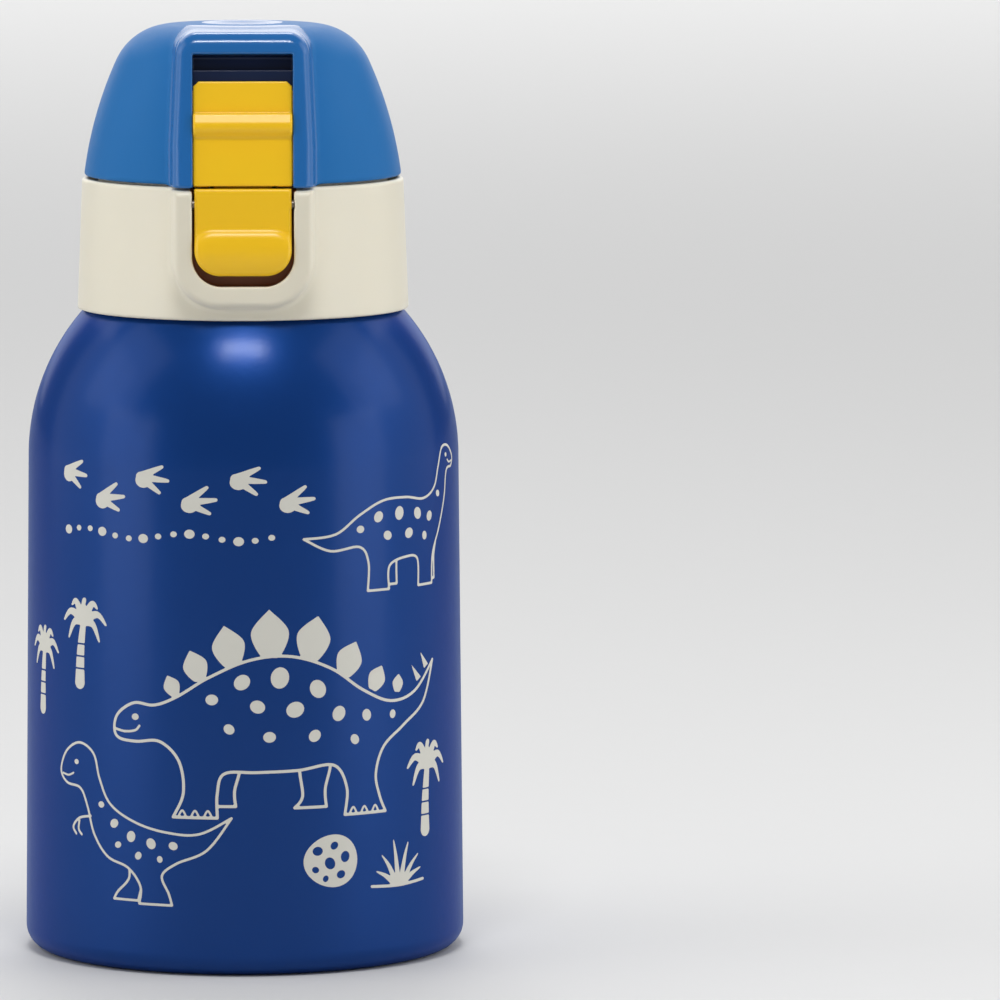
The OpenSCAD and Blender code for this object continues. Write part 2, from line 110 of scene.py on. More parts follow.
def make_object(name, points, faces, body, node=None, slot=None, mats=(), smooth=True):
    """Mesh object from points in millimetres, riding on a body and standing for a CAD node."""
    mesh = bpy.data.meshes.new(name)
    mesh.from_pydata((np.asarray(points) * MM).tolist(), [], [tuple(f) for f in faces])
    mesh.validate()
    if smooth:
        mesh.shade_smooth()
    else:
        mesh.shade_flat()
    obj = bpy.data.objects.new(name, mesh)
    bpy.context.scene.collection.objects.link(obj)
    for mat in mats:
        mesh.materials.append(mat)
    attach(obj, body)
    if node:
        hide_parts(node)
    return obj


def arc(centre, r, a0, a1, n=12):
    """Points of an arc, angles in degrees."""
    angles = np.radians(np.linspace(a0, a1, n + 1))
    return [(centre[0] + r * math.cos(a), centre[1] + r * math.sin(a)) for a in angles]


def rounded(corners, r=0.3, n=4):
    """Closed outline with its corners rounded: each corner is (u, v) or (u, v, its own radius)."""
    out = []
    count = len(corners)
    for i, corner in enumerate(corners):
        p = np.array(corner[:2], float)
        a = np.array(corners[i - 1][:2], float) - p
        b = np.array(corners[(i + 1) % count][:2], float) - p
        la, lb = np.hypot(*a), np.hypot(*b)
        a, b = a / la, b / lb
        half = math.acos(np.clip(a @ b, -1, 1)) / 2
        radius = corner[2] if len(corner) > 2 else r
        back = min(radius / max(math.tan(half), 1e-6), 0.45 * la, 0.45 * lb)
        if radius == 0 or back < 1e-4 or half > math.radians(88):
            out.append(tuple(p))
            continue
        for t in np.linspace(0, 1, n + 1):
            out.append(tuple(p + (1 - t) ** 2 * back * a + t ** 2 * back * b))
    return out


def facing_out(points, faces):
    """The faces, turned over if they enclose a negative volume."""
    points = np.asarray(points)
    total = 0.0
    for f in faces:
        p = points[f]
        for i in range(1, len(f) - 1):
            total += np.dot(p[0], np.cross(p[i], p[i + 1]))
    return faces if total > 0 else [f[::-1] for f in faces]


def lathe_mesh(outline, segments=192):
    """Points and faces of a closed outline of (radius, height) turned round Z."""
    outline = np.array(outline)
    n = len(outline)
    angles = 2 * np.pi * np.arange(segments) / segments
    points = np.empty((segments, n, 3))
    points[..., 0] = np.cos(angles)[:, None] * outline[:, 0]
    points[..., 1] = np.sin(angles)[:, None] * outline[:, 0]
    points[..., 2] = outline[:, 1]
    on_axis = outline[:, 0] < 1e-9
    index = np.arange(segments * n).reshape(segments, n)
    index[:, on_axis] = index[0, on_axis]
    faces = []
    for k in range(n):
        a, b = index[:, k], index[:, (k + 1) % n]
        if on_axis[k] and on_axis[(k + 1) % n]:
            continue
        a2, b2 = np.roll(a, -1), np.roll(b, -1)
        for q in zip(a, a2, b2, b):
            q = list(dict.fromkeys(int(v) for v in q))
            if len(q) > 2:
                faces.append(q)
    used = np.unique(np.concatenate([np.array(f) for f in faces]))
    renumber = np.full(segments * n, -1)
    renumber[used] = np.arange(len(used))
    points = points.reshape(-1, 3)[used]
    return points, facing_out(points, [[int(renumber[v]) for v in f] for f in faces])


def lathe(name, outline, body, node, slot, mat, segments=192, place=None):
    """Lathed piece. place turns and moves its points before they are made into a mesh."""
    points, faces = lathe_mesh(outline, segments)
    if place is not None:
        points = place(points)
    return make_object(name, points, faces, body, node, slot, [mat])


def sweep_mesh(rings):
    """Closed tube through rings of points, each ring an array of the same number of points."""
    rings = np.asarray(rings)
    n, sides = rings.shape[:2]
    faces = []
    for i in range(n - 1):
        for k in range(sides):
            m = (k + 1) % sides
            faces.append([i * sides + k, i * sides + m, (i + 1) * sides + m, (i + 1) * sides + k])
    faces.append(list(range(sides))[::-1])
    faces.append([(n - 1) * sides + k for k in range(sides)])
    points = rings.reshape(-1, 3)
    return points, facing_out(points, faces)


def tube_mesh(path, r, sides=12):
    """Round wire along a path of points."""
    path = np.asarray(path, float)
    along = np.gradient(path, axis=0)
    along /= np.linalg.norm(along, axis=1)[:, None]
    side = np.cross(along[0], [0.3, 0.5, 0.81])
    rings = []
    for p, t in zip(path, along):
        side = side - t * (side @ t)
        side /= np.linalg.norm(side)
        up = np.cross(t, side)
        angles = 2 * np.pi * np.arange(sides) / sides
        rings.append(p + r * (np.cos(angles)[:, None] * side + np.sin(angles)[:, None] * up))
    return sweep_mesh(rings)


def joined(*meshes):
    """Several (points, faces) as one."""
    points, faces = [], []
    for p, f in meshes:
        start = sum(len(q) for q in points)
        points.append(np.asarray(p))
        faces += [[v + start for v in face] for face in f]
    return np.concatenate(points), faces


def thread_mesh(root_r, crest_r, z, turns=1.25, steps=144):
    """Trapezoid ridge wound round Z, fading out at its ends."""
    rings = []
    n = int(turns * steps)
    for i in range(n + 1):
        a = 2 * math.pi * turns * i / n
        grow = min(1, 12 * i / n, 12 * (n - i) / n)
        crest = root_r + (crest_r - root_r) * max(grow, 0.05)
        height = z + THREAD_PITCH * turns * i / n
        section = [(root_r, -0.9), (crest, -0.5), (crest, 0.5), (root_r, 0.9)]
        rings.append([[r * math.cos(a), r * math.sin(a), height + dz] for r, dz in section])
    return sweep_mesh(rings)


# ---- distance fields

def meet(a, b, r=0.3):
    """What is inside both fields, with a round edge of radius r."""
    return np.minimum(-r, np.maximum(a, b)) + np.hypot(np.maximum(a + r, 0), np.maximum(b + r, 0))


def add(a, b, r=0.3):
    """What is inside either field, with a fillet of radius r."""
    return np.maximum(r, np.minimum(a, b)) - np.hypot(np.maximum(r - a, 0), np.maximum(r - b, 0))


def cut(a, b, r=0.3):
    """The first field less the second."""
    return meet(a, -b, r)


def slab(v, low, high):
    """Between two values of one coordinate."""
    return np.maximum(low - v, v - high)


def rect(u, v, u0, u1, v0, v1, r=0.0):
    """Rectangle with round corners, in any two coordinates."""
    du = np.abs(u - (u0 + u1) / 2) - (u1 - u0) / 2 + r
    dv = np.abs(v - (v0 + v1) / 2) - (v1 - v0) / 2 + r
    return np.hypot(np.maximum(du, 0), np.maximum(dv, 0)) + np.minimum(np.maximum(du, dv), 0) - r


def from_hinge(y, z):
    """Distance from the lid's hinge axis."""
    return np.hypot(y - HINGE_Y, z - HINGE_Z)


def from_pivot(y, z):
    """Distance from the button's axis."""
    return np.hypot(y - PIVOT_Y, z - PIVOT_Z)


def on_slope(y, z):
    """Coordinates in the frame of the lid's sloping front: depth into the lid, and up the slope."""
    dy, dz = y - BEZEL_FOOT_Y, z - BEZEL_FOOT_Z
    return dy * math.cos(LEAN) - dz * math.sin(LEAN), dy * math.sin(LEAN) + dz * math.cos(LEAN)


def skin(name, field, low, high, step, body, node, slot, mats, pick=None, relax=2):
    """Closed mesh of quads where field(x, y, z) is 0, from a grid of that step.

    Each grid cell that the surface passes through gives one point, which is moved onto the
    surface. pick(x, y, z) gives the material index at a point.
    """
    low, high = np.array(low, float) - 2 * step, np.array(high, float) + 2 * step
    counts = np.ceil((high - low) / step).astype(int) + 1
    axes = [low[i] + step * np.arange(counts[i]) for i in range(3)]
    inside = np.empty(tuple(counts), bool)
    chunk = max(1, int(600000 / (counts[1] * counts[2])))
    for i in range(0, counts[0], chunk):
        grid = np.meshgrid(axes[0][i:i + chunk], axes[1], axes[2], indexing="ij")
        inside[i:i + chunk] = field(*grid) < 0
    corners = sum(
        inside[i:counts[0] - 1 + i, j:counts[1] - 1 + j, k:counts[2] - 1 + k].astype(np.int8)
        for i in (0, 1) for j in (0, 1) for k in (0, 1))
    crossed = (corners > 0) & (corners < 8)
    number = np.full(crossed.shape, -1)
    number[crossed] = np.arange(crossed.sum())
    points = low + (np.argwhere(crossed) + 0.5) * step
    quads = []
    for a in range(3):
        b, c = (a + 1) % 3, (a + 2) % 3
        before = np.take(inside, range(counts[a] - 1), axis=a)
        after = np.take(inside, range(1, counts[a]), axis=a)
        for start_inside, order in ((True, 1), (False, -1)):
            edge = np.argwhere((before == start_inside) & (after != start_inside))
            ring = []
            for db, dc in ((-1, -1), (0, -1), (0, 0), (-1, 0)):
                cell = edge.copy()
                cell[:, b] += db
                cell[:, c] += dc
                ring.append(number[tuple(cell.T)])
            quads.append(np.stack(ring[::order], axis=1))
    quads = np.concatenate(quads)

    def settle(p, rounds):
        h = 0.02
        for _ in range(rounds):
            d = field(*p.T)
            slope = np.stack([
                (field(*(p + h * e).T) - field(*(p - h * e).T)) / (2 * h) for e in np.eye(3)], axis=1)
            size = np.maximum((slope ** 2).sum(axis=1), 0.05)
            move = -(d / size)[:, None] * slope
            length = np.linalg.norm(move, axis=1)
            p = p + move * np.minimum(1, 0.6 * step / np.maximum(length, 1e-9))[:, None]
        return p

    points = settle(points, 3)
    pairs = np.concatenate([quads[:, [i, (i + 1) % 4]] for i in range(4)])
    ends, others = pairs.T
    degree = np.bincount(ends, minlength=len(points)) + np.bincount(others, minlength=len(points))
    for _ in range(relax):
        total = np.stack([
            np.bincount(ends, points[others, i], len(points))
            + np.bincount(others, points[ends, i], len(points)) for i in range(3)], axis=1)
        points = settle(0.5 * points + 0.5 * total / degree[:, None], 2)
    obj = make_object(name, points, quads.tolist(), body, node, slot, mats)
    if pick is not None:
        middle = points[quads].mean(axis=1)
        obj.data.polygons.foreach_set("material_index", pick(*middle.T).astype(np.int32))
    return obj


# ---- materials

def node_tree(name):
    """New material, its shader, and a function that adds and links a node."""
    mat = bpy.data.materials.new(name)
    mat.use_nodes = True
    tree = mat.node_tree
    shader = next(n for n in tree.nodes if n.type == "BSDF_PRINCIPLED")

    def add_node(kind, inputs=None, **settings):
        new = tree.nodes.new(kind)
        for key, value in settings.items():
            setattr(new, key, value)
        for key, value in (inputs or {}).items():
            if isinstance(value, bpy.types.NodeSocket):
                tree.links.new(value, new.inputs[key])
            else:
                new.inputs[key].default_value = value
        return new

    return mat, tree, shader, add_node


def shade(colour, factor):
    """A colour made lighter or darker."""
    return (*(min(1, c * factor) for c in colour), 1)


def surface(name, colour, rough, rough_swing, mottle, grain_mm, grain_depth_mm, waves_depth_mm=0.0,
            metallic=0.0, subsurface=0.0, specular=0.5, coat=0.0, edge=(1, 1, 1)):
    """Moulded, painted or metal finish.

    The colour drifts by mottle, the roughness by rough_swing, and the skin has a fine grain of
    the given size and depth with longer waves under it. coat adds a clear layer over the colour,
    and edge is the tint of a reflection seen at a slant.
    """
    mat, tree, shader, add_node = node_tree(name)
    place = add_node("ShaderNodeTexCoord").outputs["Object"]

    def noise(scale, detail, roughness=0.5):
        inputs = {"Vector": place, "Scale": scale, "Detail": detail, "Roughness": roughness}
        return add_node("ShaderNodeTexNoise", inputs).outputs["Fac"]

    paint = add_node("ShaderNodeMix", {"Factor": noise(90.0, 4.0)}, data_type="RGBA")
    paint.inputs["A"].default_value = shade(colour, 1 - mottle)
    paint.inputs["B"].default_value = shade(colour, 1 + mottle)
    tree.links.new(paint.outputs["Result"], shader.inputs["Base Color"])

    grain = noise(1 / (grain_mm * MM), 3.0, 0.55)
    scuff_map = add_node("ShaderNodeMapRange", {
        "Value": noise(320.0, 8.0, 0.7), "From Min": 0.35, "From Max": 0.75,
        "To Min": rough - rough_swing, "To Max": rough + rough_swing}).outputs["Result"]
    tree.links.new(scuff_map, shader.inputs["Roughness"])

    bump = add_node("ShaderNodeBump", {"Height": grain, "Strength": 1.0, "Distance": grain_depth_mm * MM})
    if waves_depth_mm:
        bump = add_node("ShaderNodeBump", {
            "Height": noise(0.28 / (grain_mm * MM), 1.0), "Strength": 1.0,
            "Distance": waves_depth_mm * MM, "Normal": bump.outputs["Normal"]})
    tree.links.new(bump.outputs["Normal"], shader.inputs["Normal"])
    shader.inputs["Metallic"].default_value = metallic
    shader.inputs["Specular IOR Level"].default_value = specular
    shader.inputs["Specular Tint"].default_value = (*edge, 1)
    if coat:
        shader.inputs["Coat Weight"].default_value = coat
        shader.inputs["Coat Roughness"].default_value = 0.2
        tree.links.new(bump.outputs["Normal"], shader.inputs["Coat Normal"])
    if subsurface:
        shader.inputs["Subsurface Weight"].default_value = subsurface
        shader.inputs["Subsurface Radius"].default_value = (1.0, 0.8, 0.6)
        shader.inputs["Subsurface Scale"].default_value = 0.0012
    return mat


PAINT = surface("body_paint", (0.0050, 0.044, 0.212), 0.38, 0.03, 0.04, 0.75, 0.010, 0.012, metallic=0.42,
                specular=0.0, coat=0.30, edge=(0.12, 0.40, 1.0))
STEEL = surface("bare_steel", (0.55, 0.55, 0.54), 0.28, 0.06, 0.05, 0.25, 0.004, metallic=1.0)
FOIL = surface("foil", (0.80, 0.77, 0.70), 0.22, 0.08, 0.05, 1.5, 0.05, metallic=1.0)
PILL = surface("getter", (0.05, 0.05, 0.05), 0.8, 0.1, 0.3, 0.3, 0.03)
SILICONE = surface("silicone", (0.72, 0.74, 0.74), 0.42, 0.06, 0.03, 0.5, 0.006, subsurface=0.35)
CREAM = surface("cream_plastic", (0.79, 0.745, 0.61), 0.38, 0.03, 0.012, 0.35, 0.003, 0.004,
                subsurface=0.12)
CORE = surface("core_plastic", (0.80, 0.77, 0.66), 0.42, 0.05, 0.02, 0.4, 0.004, subsurface=0.12)
SPOUT = surface("spout_plastic", (0.82, 0.82, 0.79), 0.25, 0.05, 0.02, 0.5, 0.002, subsurface=0.25)
WIRE = surface("spring_steel", (0.50, 0.49, 0.47), 0.25, 0.05, 0.08, 0.15, 0.003, metallic=1.0)
YELLOW = surface("yellow_plastic", (0.95, 0.57, 0.012), 0.30, 0.012, 0.008, 0.5, 0.003, 0.004,
                 subsurface=0.10, specular=0.4)
DOME = surface("lid_satin", (0.012, 0.145, 0.41), 0.44, 0.03, 0.02, 0.30, 0.006, 0.003, specular=0.12)
GLOSS = surface("lid_gloss", (0.014, 0.135, 0.41), 0.17, 0.02, 0.015, 0.9, 0.001, 0.002, specular=0.45)
# Painted shade: near-black navy for the inside of the slider's recess, where the lid's blue lies in shadow.
RECESS_PAINTED_SHADE = surface("lid_recess_painted_shade", (0.003, 0.012, 0.052), 0.40, 0.05, 0.05, 0.5, 0.003, 0.004, specular=0.3)
# Painted shade: dark brown for the pocket behind the button, tinted by the amber light the button throws
# into it.
POCKET_PAINTED_SHADE = surface("button_pocket_painted_shade", (0.24, 0.075, 0.025), 0.50, 0.05, 0.05, 0.4, 0.004)
PIN = surface("pin_steel", (0.26, 0.23, 0.20), 0.45, 0.05, 0.05, 0.2, 0.003, metallic=1.0)
INK = surface("print_ink", (0.66, 0.65, 0.59), 0.55, 0.05, 0.03, 0.25, 0.004, specular=0.3)
LINER = surface("liner_plastic", (0.30, 0.52, 0.74), 0.35, 0.05, 0.02, 0.5, 0.003, subsurface=0.1)


# ---- bottle body

SHOULDER_C = (WALL_TOP_R - SHOULDER_R * math.cos(TAPER), SHOULDER_Z - SHOULDER_R * math.sin(TAPER))


def shoulder_arc(inset, neck, n=60):
    """The shoulder from the wall up to a neck radius, moved inwards by inset."""
    r = SHOULDER_R - inset
    top = math.degrees(math.acos((neck - SHOULDER_C[0]) / r))
    return arc(SHOULDER_C, r, math.degrees(TAPER), top, n)


def outer_body():
    """Painted steel shell with its foot ring, rolled thread and lip."""
    sheet, mouth_r, ring_r, rim_h = 0.6, 22.9, 31.0, 2.4
    foot_c = (FOOT_R - FOOT_ROUND * math.cos(TAPER), FOOT_ROUND)
    taper = math.degrees(TAPER)

    def side(inset, neck):
        foot = arc(foot_c, FOOT_ROUND - inset, -90, taper, 16)
        shoulder = shoulder_arc(inset, neck)
        wall = np.linspace(foot[-1], shoulder[0], 12)[1:-1]
        return foot + [tuple(p) for p in wall] + shoulder

    lip = [(NECK_R, LIP_Z - 0.5), (NECK_R - 0.2, LIP_Z - 0.12), (NECK_R - 0.7, LIP_Z),
           (mouth_r + 0.4, LIP_Z), (mouth_r, LIP_Z - 0.25), (mouth_r, LIP_Z - sheet),
           (NECK_R - sheet, LIP_Z - sheet)]
    outline = ([(ring_r, rim_h), (ring_r, 0.5), (ring_r + 0.15, 0.15), (ring_r + 0.5, 0)]
               + side(0, NECK_R) + lip + side(sheet, NECK_R - sheet)[::-1]
               + [(ring_r + sheet, sheet), (ring_r + sheet, rim_h)])
    thread = thread_mesh(NECK_R - 0.3, NECK_R + 0.75, COLLAR_Z + 5.4)
    shell = joined(lathe_mesh(outline, 288), thread)
    make_object("body_shell", *shell, "bottle", "outer_shell", "body_paint", [PAINT])


def foot_plate():
    """Turned steel plate in the foot, with a pressed dimple, a ring and a weld bead."""
    r = 30.95
    edge, dimple, t = 1.5, 2.4, 0.5
    under = [(0, dimple, 0), (6.5, dimple, 1), (9.2, edge, 1), (18, edge, 2), (19, edge + 0.25, 1),
             (20, edge, 2), (r - 0.9, edge, 0.4), (r - 0.5, edge - 0.25, 0.3), (r, edge - 0.1, 0.2)]
    over = [(r, edge + t, 0.1), (9.6, edge + t, 1), (6.9, dimple + t, 1), (0, dimple + t, 0)]
    outline = rounded(under + over, n=5)
    lathe("foot_plate", outline, "bottle", "base_plate", "bare_steel", STEEL)


def liner():
    """Inner steel vessel."""
    t, inset, floor, corner = 0.5, 3.6, 5.2, 8.0
    corner_c = (FOOT_R - inset - corner, floor + corner)

    def side(extra):
        neck = 23.4 - extra
        return (arc(corner_c, corner - extra, -90, math.degrees(TAPER), 16)
                + shoulder_arc(inset + extra, neck, 40) + [(neck, LIP_Z - 0.6)])

    lathe("steel_liner", side(0) + side(t)[::-1], "bottle", "inner_liner", "bare_steel", STEEL)
    r = corner_c[0] - 0.05
    disc = [(0, floor), (7, floor), (8, floor + 0.12), (9, floor), (r - 0.3, floor), (r, floor + 0.12),
            (r, floor + t - 0.12), (r - 0.3, floor + t), (9, floor + t), (8, floor + t + 0.1),
            (7, floor + t), (0, floor + t)]
    lathe("steel_liner_floor", disc, "bottle", "liner_floor", "bare_steel", STEEL)


# ---- cap

def collar_field(x, y, z):
    """Collar ring with the button's raised frame in front and the hinge block behind."""
    rho = np.hypot(x, y)
    height = COLLAR_TOP_Z - COLLAR_Z
    top_r = COLLAR_BOTTOM_R - 0.9
    outside = rho - (COLLAR_BOTTOM_R + (top_r - COLLAR_BOTTOM_R) * (z - COLLAR_Z) / height)
    ring = meet(meet(outside, z - COLLAR_TOP_Z, 0.6), COLLAR_EDGE_Z - z, 0.3)
    # raised U frame, soft on the outside
    frame_2d = rect(x, z, -12.1, 12.1, COLLAR_Z + 2.6, COLLAR_TOP_Z + 12, 8.0)
    frame_2d = meet(frame_2d, z - (COLLAR_TOP_Z - 0.2), 0.4)
    raised = meet(frame_2d, slab(y, -30.2, -20), 1.3)
    d = add(ring, raised, 1.0)
    # hinge block flows out of the ring
    swell = rect(y, z, 20, HINGE_Y + 4.2, COLLAR_TOP_Z - 1.4, HINGE_Z, 0.0)
    barrel = from_hinge(y, z) - 4.2
    block_2d = np.minimum(swell, barrel)
    block = meet(block_2d, np.abs(x) - 7.2, 0.5)
    block = meet(block, 25.9 - y, 0.3)
    d = add(d, block, 2.6)
    stop_top = COLLAR_Z + 27.1 - 0.4 * (x / 3.9) ** 2
    stop = np.maximum(np.abs(x) - 3.9, np.maximum(COLLAR_Z + 23.8 - z, z - stop_top))
    d = add(d, meet(stop, slab(y, 28, HINGE_Y + 4.75), 0.35), 0.12)
    # bore, button pocket, hook slot and pin holes
    bore = np.minimum(rho - 26.5, (rho - FLARE_R + (z - COLLAR_Z) * 0.77) * 0.79)
    d = cut(d, np.maximum(bore, z - COLLAR_TOP_Z - 3), 0.15)
    opening = rect(x, z, -8.65, 8.65, COLLAR_Z + 6.3, COLLAR_TOP_Z + 12, 5.0)
    pocket = meet(opening, y + 27.05, 0.3)
    d = cut(d, pocket, 0.35)
    slot = np.maximum(np.abs(x) - 5.6, np.maximum(DECK_Z + 2.1 - z, slab(y, -29, -24)))
    d = cut(d, slot, 0.15)
    boss_room = np.maximum(from_pivot(y, z) - 1.75, np.abs(x) - 8.8)
    d = np.maximum(d, -boss_room)
    pin = np.maximum(from_pivot(y, z) - 0.85, np.abs(x) - 10.6)
    hinge_bore = from_hinge(y, z) - HINGE_BORE_R
    return np.maximum(np.maximum(d, -pin), -hinge_bore)


def collar_painted_shade_pick(x, y, z):
    """1 inside the pocket behind the button, painted with a dark amber shade that stands for the shadow
    there and the button's light thrown into it; 0 elsewhere.
    """
    in_opening = rect(x, z, -8.95, 8.95, COLLAR_Z + 6.05, COLLAR_TOP_Z + 12, 5.1) < 0
    return (in_opening & (y > -29.5) & (y < -26.3) & (z < COLLAR_TOP_Z)).astype(int)


def collar():
    reach = COLLAR_BOTTOM_R
    # The pocket behind the button takes the painted shade material.
    skin("collar_ring", collar_field, (-reach, -30.4, COLLAR_Z), (reach, HINGE_Y + 4.9, HINGE_Z + 4.3), 0.3,
         "cap", "collar", "cream_plastic", [CREAM, POCKET_PAINTED_SHADE], collar_painted_shade_pick)


def core():
    """Deck, plug and threaded skirt of the cap."""
    top = DECK_Z + 2
    low, plug = box_mm("cap_core")[0][2], COLLAR_Z + 7.1
    outline = rounded([
        (12.4, DECK_Z), (19.8, DECK_Z), (19.8, plug), (22.3, plug), (22.3, plug + 1), (21.2, plug + 1),
        (21.2, DECK_Z - 1.2), (22.3, DECK_Z - 1.2), (22.3, DECK_Z), (25.6, DECK_Z), (25.6, low),
        (26.4, low), (26.4, top, 0.1), (16.5, top, 0.3), (16.2, top - 0.35, 0.2), (14.9, top - 0.35, 0.2),
        (14.6, top, 0.2), (12.4, top)], 0.2)
    thread = thread_mesh(25.9, 24.85, COLLAR_Z + 3.4)
    rims = [rim_mesh(-67.3, 29.2), rim_mesh(150.8, 247.3)]
    body = joined(lathe_mesh(outline), thread, *rims)
    make_object("cap_inner", *body, "cap", "cap_core", "core_plastic", [CORE])


def rim_mesh(start, end):
    """Part of the spill rim that stands on the deck, between two angles in degrees."""
    low, high = DECK_Z + 1.5, LID_Z + 0.7
    section = rounded([(24.2, low), (25, low), (25, high), (24.2, high)], 0.3)
    rings = [[(r * math.cos(a), r * math.sin(a), h) for r, h in section]
             for a in np.radians(np.linspace(start, end, 60))]
    return sweep_mesh(rings)


def spout_field(x, y, z):
    """Drinking spout with a rounded, sloping rim and a seated flange."""
    rho = np.hypot(x, y)
    flange_z = DECK_Z + 3.1
    low = DECK_Z - 1.7
    rim = (z - RIM_Z) * math.cos(RIM_SLOPE) + y * math.sin(RIM_SLOPE)
    tube = meet(rho - 11.5, np.maximum(rim, low - z), 0.75)
    flange = meet(rho - 14.5, slab(z, flange_z, flange_z + 1.5), 0.35)
    seat = meet(rho - 12.2, slab(z, low, flange_z + 1), 0.3)
    snap = meet(rho - 12.75, slab(z, low + 0.3, low + 1.2), 0.3)
    d = add(add(tube, flange, 1.2), np.minimum(seat, snap), 0.2)
    return cut(d, rho - 9.7, 0.7)


def spout():
    skin("drinking_spout", spout_field, (-14.6, -14.6, DECK_Z - 1.8), (14.6, 14.6, RIM_Z + 2.3), 0.3,
         "cap", "mouthpiece", "spout_plastic", [SPOUT])


def cap_seals():
    """Silicone parts of the cap and the ring in the bottle's mouth."""
    low, high = COLLAR_Z + 8.3, COLLAR_Z + 11.9
    ring = rounded([(21.3, low), (22.25, low), (22.7, low + 0.6), (22.25, low + 1.2), (22.25, high - 1.2),
                    (22.7, high - 0.6), (22.25, high), (21.3, high)], 0.25)
    lathe("mouth_seal", ring, "mouth_gasket", "bottle_gasket", "silicone", SILICONE)
    flat = DECK_Z + 2.1
    washer = rounded([(12.5, flat), (14.3, flat), (14.3, flat + 0.9), (12.5, flat + 0.9)], 0.3)
    lathe("spout_seal", washer, "cap", "mouthpiece_gasket", "silicone", SILICONE)
    valve = rounded([(0, DECK_Z - 2, 0), (1, DECK_Z - 2), (2, DECK_Z - 0.6), (2, DECK_Z - 0.1),
                     (1.5, DECK_Z - 0.1), (1.5, flat), (2.6, flat), (2.2, flat + 1), (0.7, flat + 1),
                     (0.5, flat + 0.6), (0, flat + 0.6, 0)], 0.25)
    lathe("air_valve", valve, "cap", "vent_valve", "silicone", SILICONE, 48,
          lambda p: p + [0, 17.5, 0])


def helix_path(centre, axis, r, length, turns, start=0.0, steps=28):
    """Points of a coil about an axis ('x' or 'y') through centre."""
    t = np.linspace(0, 1, int(turns * steps) + 1)
    a = start + 2 * np.pi * turns * t
    u, v, along = r * np.cos(a), r * np.sin(a), length * t
    local = {"x": [along, u, v], "y": [v, along, u]}[axis]
    return np.stack(local, axis=1) + centre


def springs():
    """Two torsion springs on the hinge pin and the button's return spring, as wound wire."""
    turns, pitch = 3.25, 0.62
    for side, node in ((-1, "lid_spring_left"), (1, "lid_spring_right")):
        path = helix_path([8.3, HINGE_Y, HINGE_Z], "x", 2.6, turns * pitch - 0.1, turns, math.pi / 2)
        path[:, 0] *= side
        wire = tube_mesh(path, 0.3)
        make_object(node + "_wire", *wire, "cap", node, "spring_steel", [WIRE])
    low, high = box_mm("button_spring")
    centre = [(low[0] + high[0]) / 2, low[1] + 0.2, (low[2] + high[2]) / 2]
    path = helix_path(centre, "y", 1.9, high[1] - low[1] - 0.4, 2)
    wire = make_object("button_spring_wire", *tube_mesh(path, 0.2), "cap", "button_spring", "spring_steel",
                       [WIRE])
    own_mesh(wire)


# ---- button

def button_field(x, y, z):
    """Push button: flat above its pivot, a swelling finger pad below, a hook behind."""
    low = COLLAR_TOP_Z + 0.3 - 15.1
    top = COLLAR_TOP_Z + 0.05
    half = 8.25
    front = meet(rect(x, z, -half, half, low, top + 12, 4.4), z - top, 0.15)
    # finger pad: a barrel with a soft rim that swells out of the face, over the full width
    pad_top, pad_mid, pad_r = COLLAR_Z + 17.2, COLLAR_Z + 12.3, 8.4
    face = -29.9 + 0.12 * np.clip(pad_mid + 0.6 - z, 0, None) - y
    barrel = np.hypot(y + 31.2 - pad_r, z - pad_mid) - pad_r
    outline = rect(x, z, -9.4, 9.4, low - 3, pad_top, 4.6)
    pad = meet(barrel, outline, 2.6)
    skin_field = add(face, pad, 0.35)
    plate = meet(meet(front, skin_field, 0.6), y + 28.95, 0.25)
    boss = meet(from_pivot(y, z) - 1.55, np.abs(x) - half, 0.15)
    web = meet(rect(y, z, -29.2, -25.2, PIVOT_Z - 1.5, PIVOT_Z + 1.2), np.abs(x) - HOOK_X, 0.25)
    tip = COLLAR_Z + 26.7
    post = meet(rect(y, z, -26.4, -25.2, PIVOT_Z - 1.5, tip), np.abs(x) - HOOK_X, 0.25)
    nose = np.maximum(rect(y, z, -26.0, -24.25, tip - 1.2, tip), (y + 25.2) * 0.5 + (z - tip) * 0.86 + 0.05)
    hook = add(add(post, web, 0.3), meet(nose, np.abs(x) - HOOK_X, 0.25), 0.1)
    d = add(np.minimum(plate, boss), hook, 0.15)
    return np.maximum(d, 0.85 - from_pivot(y, z))


def button():
    low, high = box_mm("release_button")
    skin("push_button", button_field, low, high, 0.2, "button", "release_button", "yellow_plastic",
         [YELLOW])


# ---- lid

SIDE_C, SIDE_R = (-40.12, LID_Z - 8.88), 68.0
CORNER_A, CORNER_R = math.radians(24.5), 10.5
CROWN_A, CROWN_R = math.radians(85.34), 150.0
CORNER_C = (SIDE_C[0] + (SIDE_R - CORNER_R) * math.cos(CORNER_A),
            SIDE_C[1] + (SIDE_R - CORNER_R) * math.sin(CORNER_A))
CROWN_C = (0.0, CORNER_C[1] - (CROWN_R - CORNER_R) * math.sin(CROWN_A))
CROWN_Z = CROWN_C[1] + CROWN_R


def dome_field(rho, z):
    """Distance from the dome's outline: side arc, corner arc and crown."""
    u, v = rho - CORNER_C[0], z - CORNER_C[1]
    angle = np.arctan2(v, u)
    side = np.hypot(rho - SIDE_C[0], z - SIDE_C[1]) - SIDE_R
    corner = np.hypot(u, v) - CORNER_R
    crown = np.hypot(rho, z - CROWN_C[1]) - CROWN_R
    at_side = z - CORNER_C[1] < u * math.tan(CORNER_A)
    at_crown = rho * math.tan(CROWN_A) < z - CROWN_C[1]
    return np.where(at_crown & (v > 0), crown, np.where(at_side | (angle < CORNER_A), side, corner))


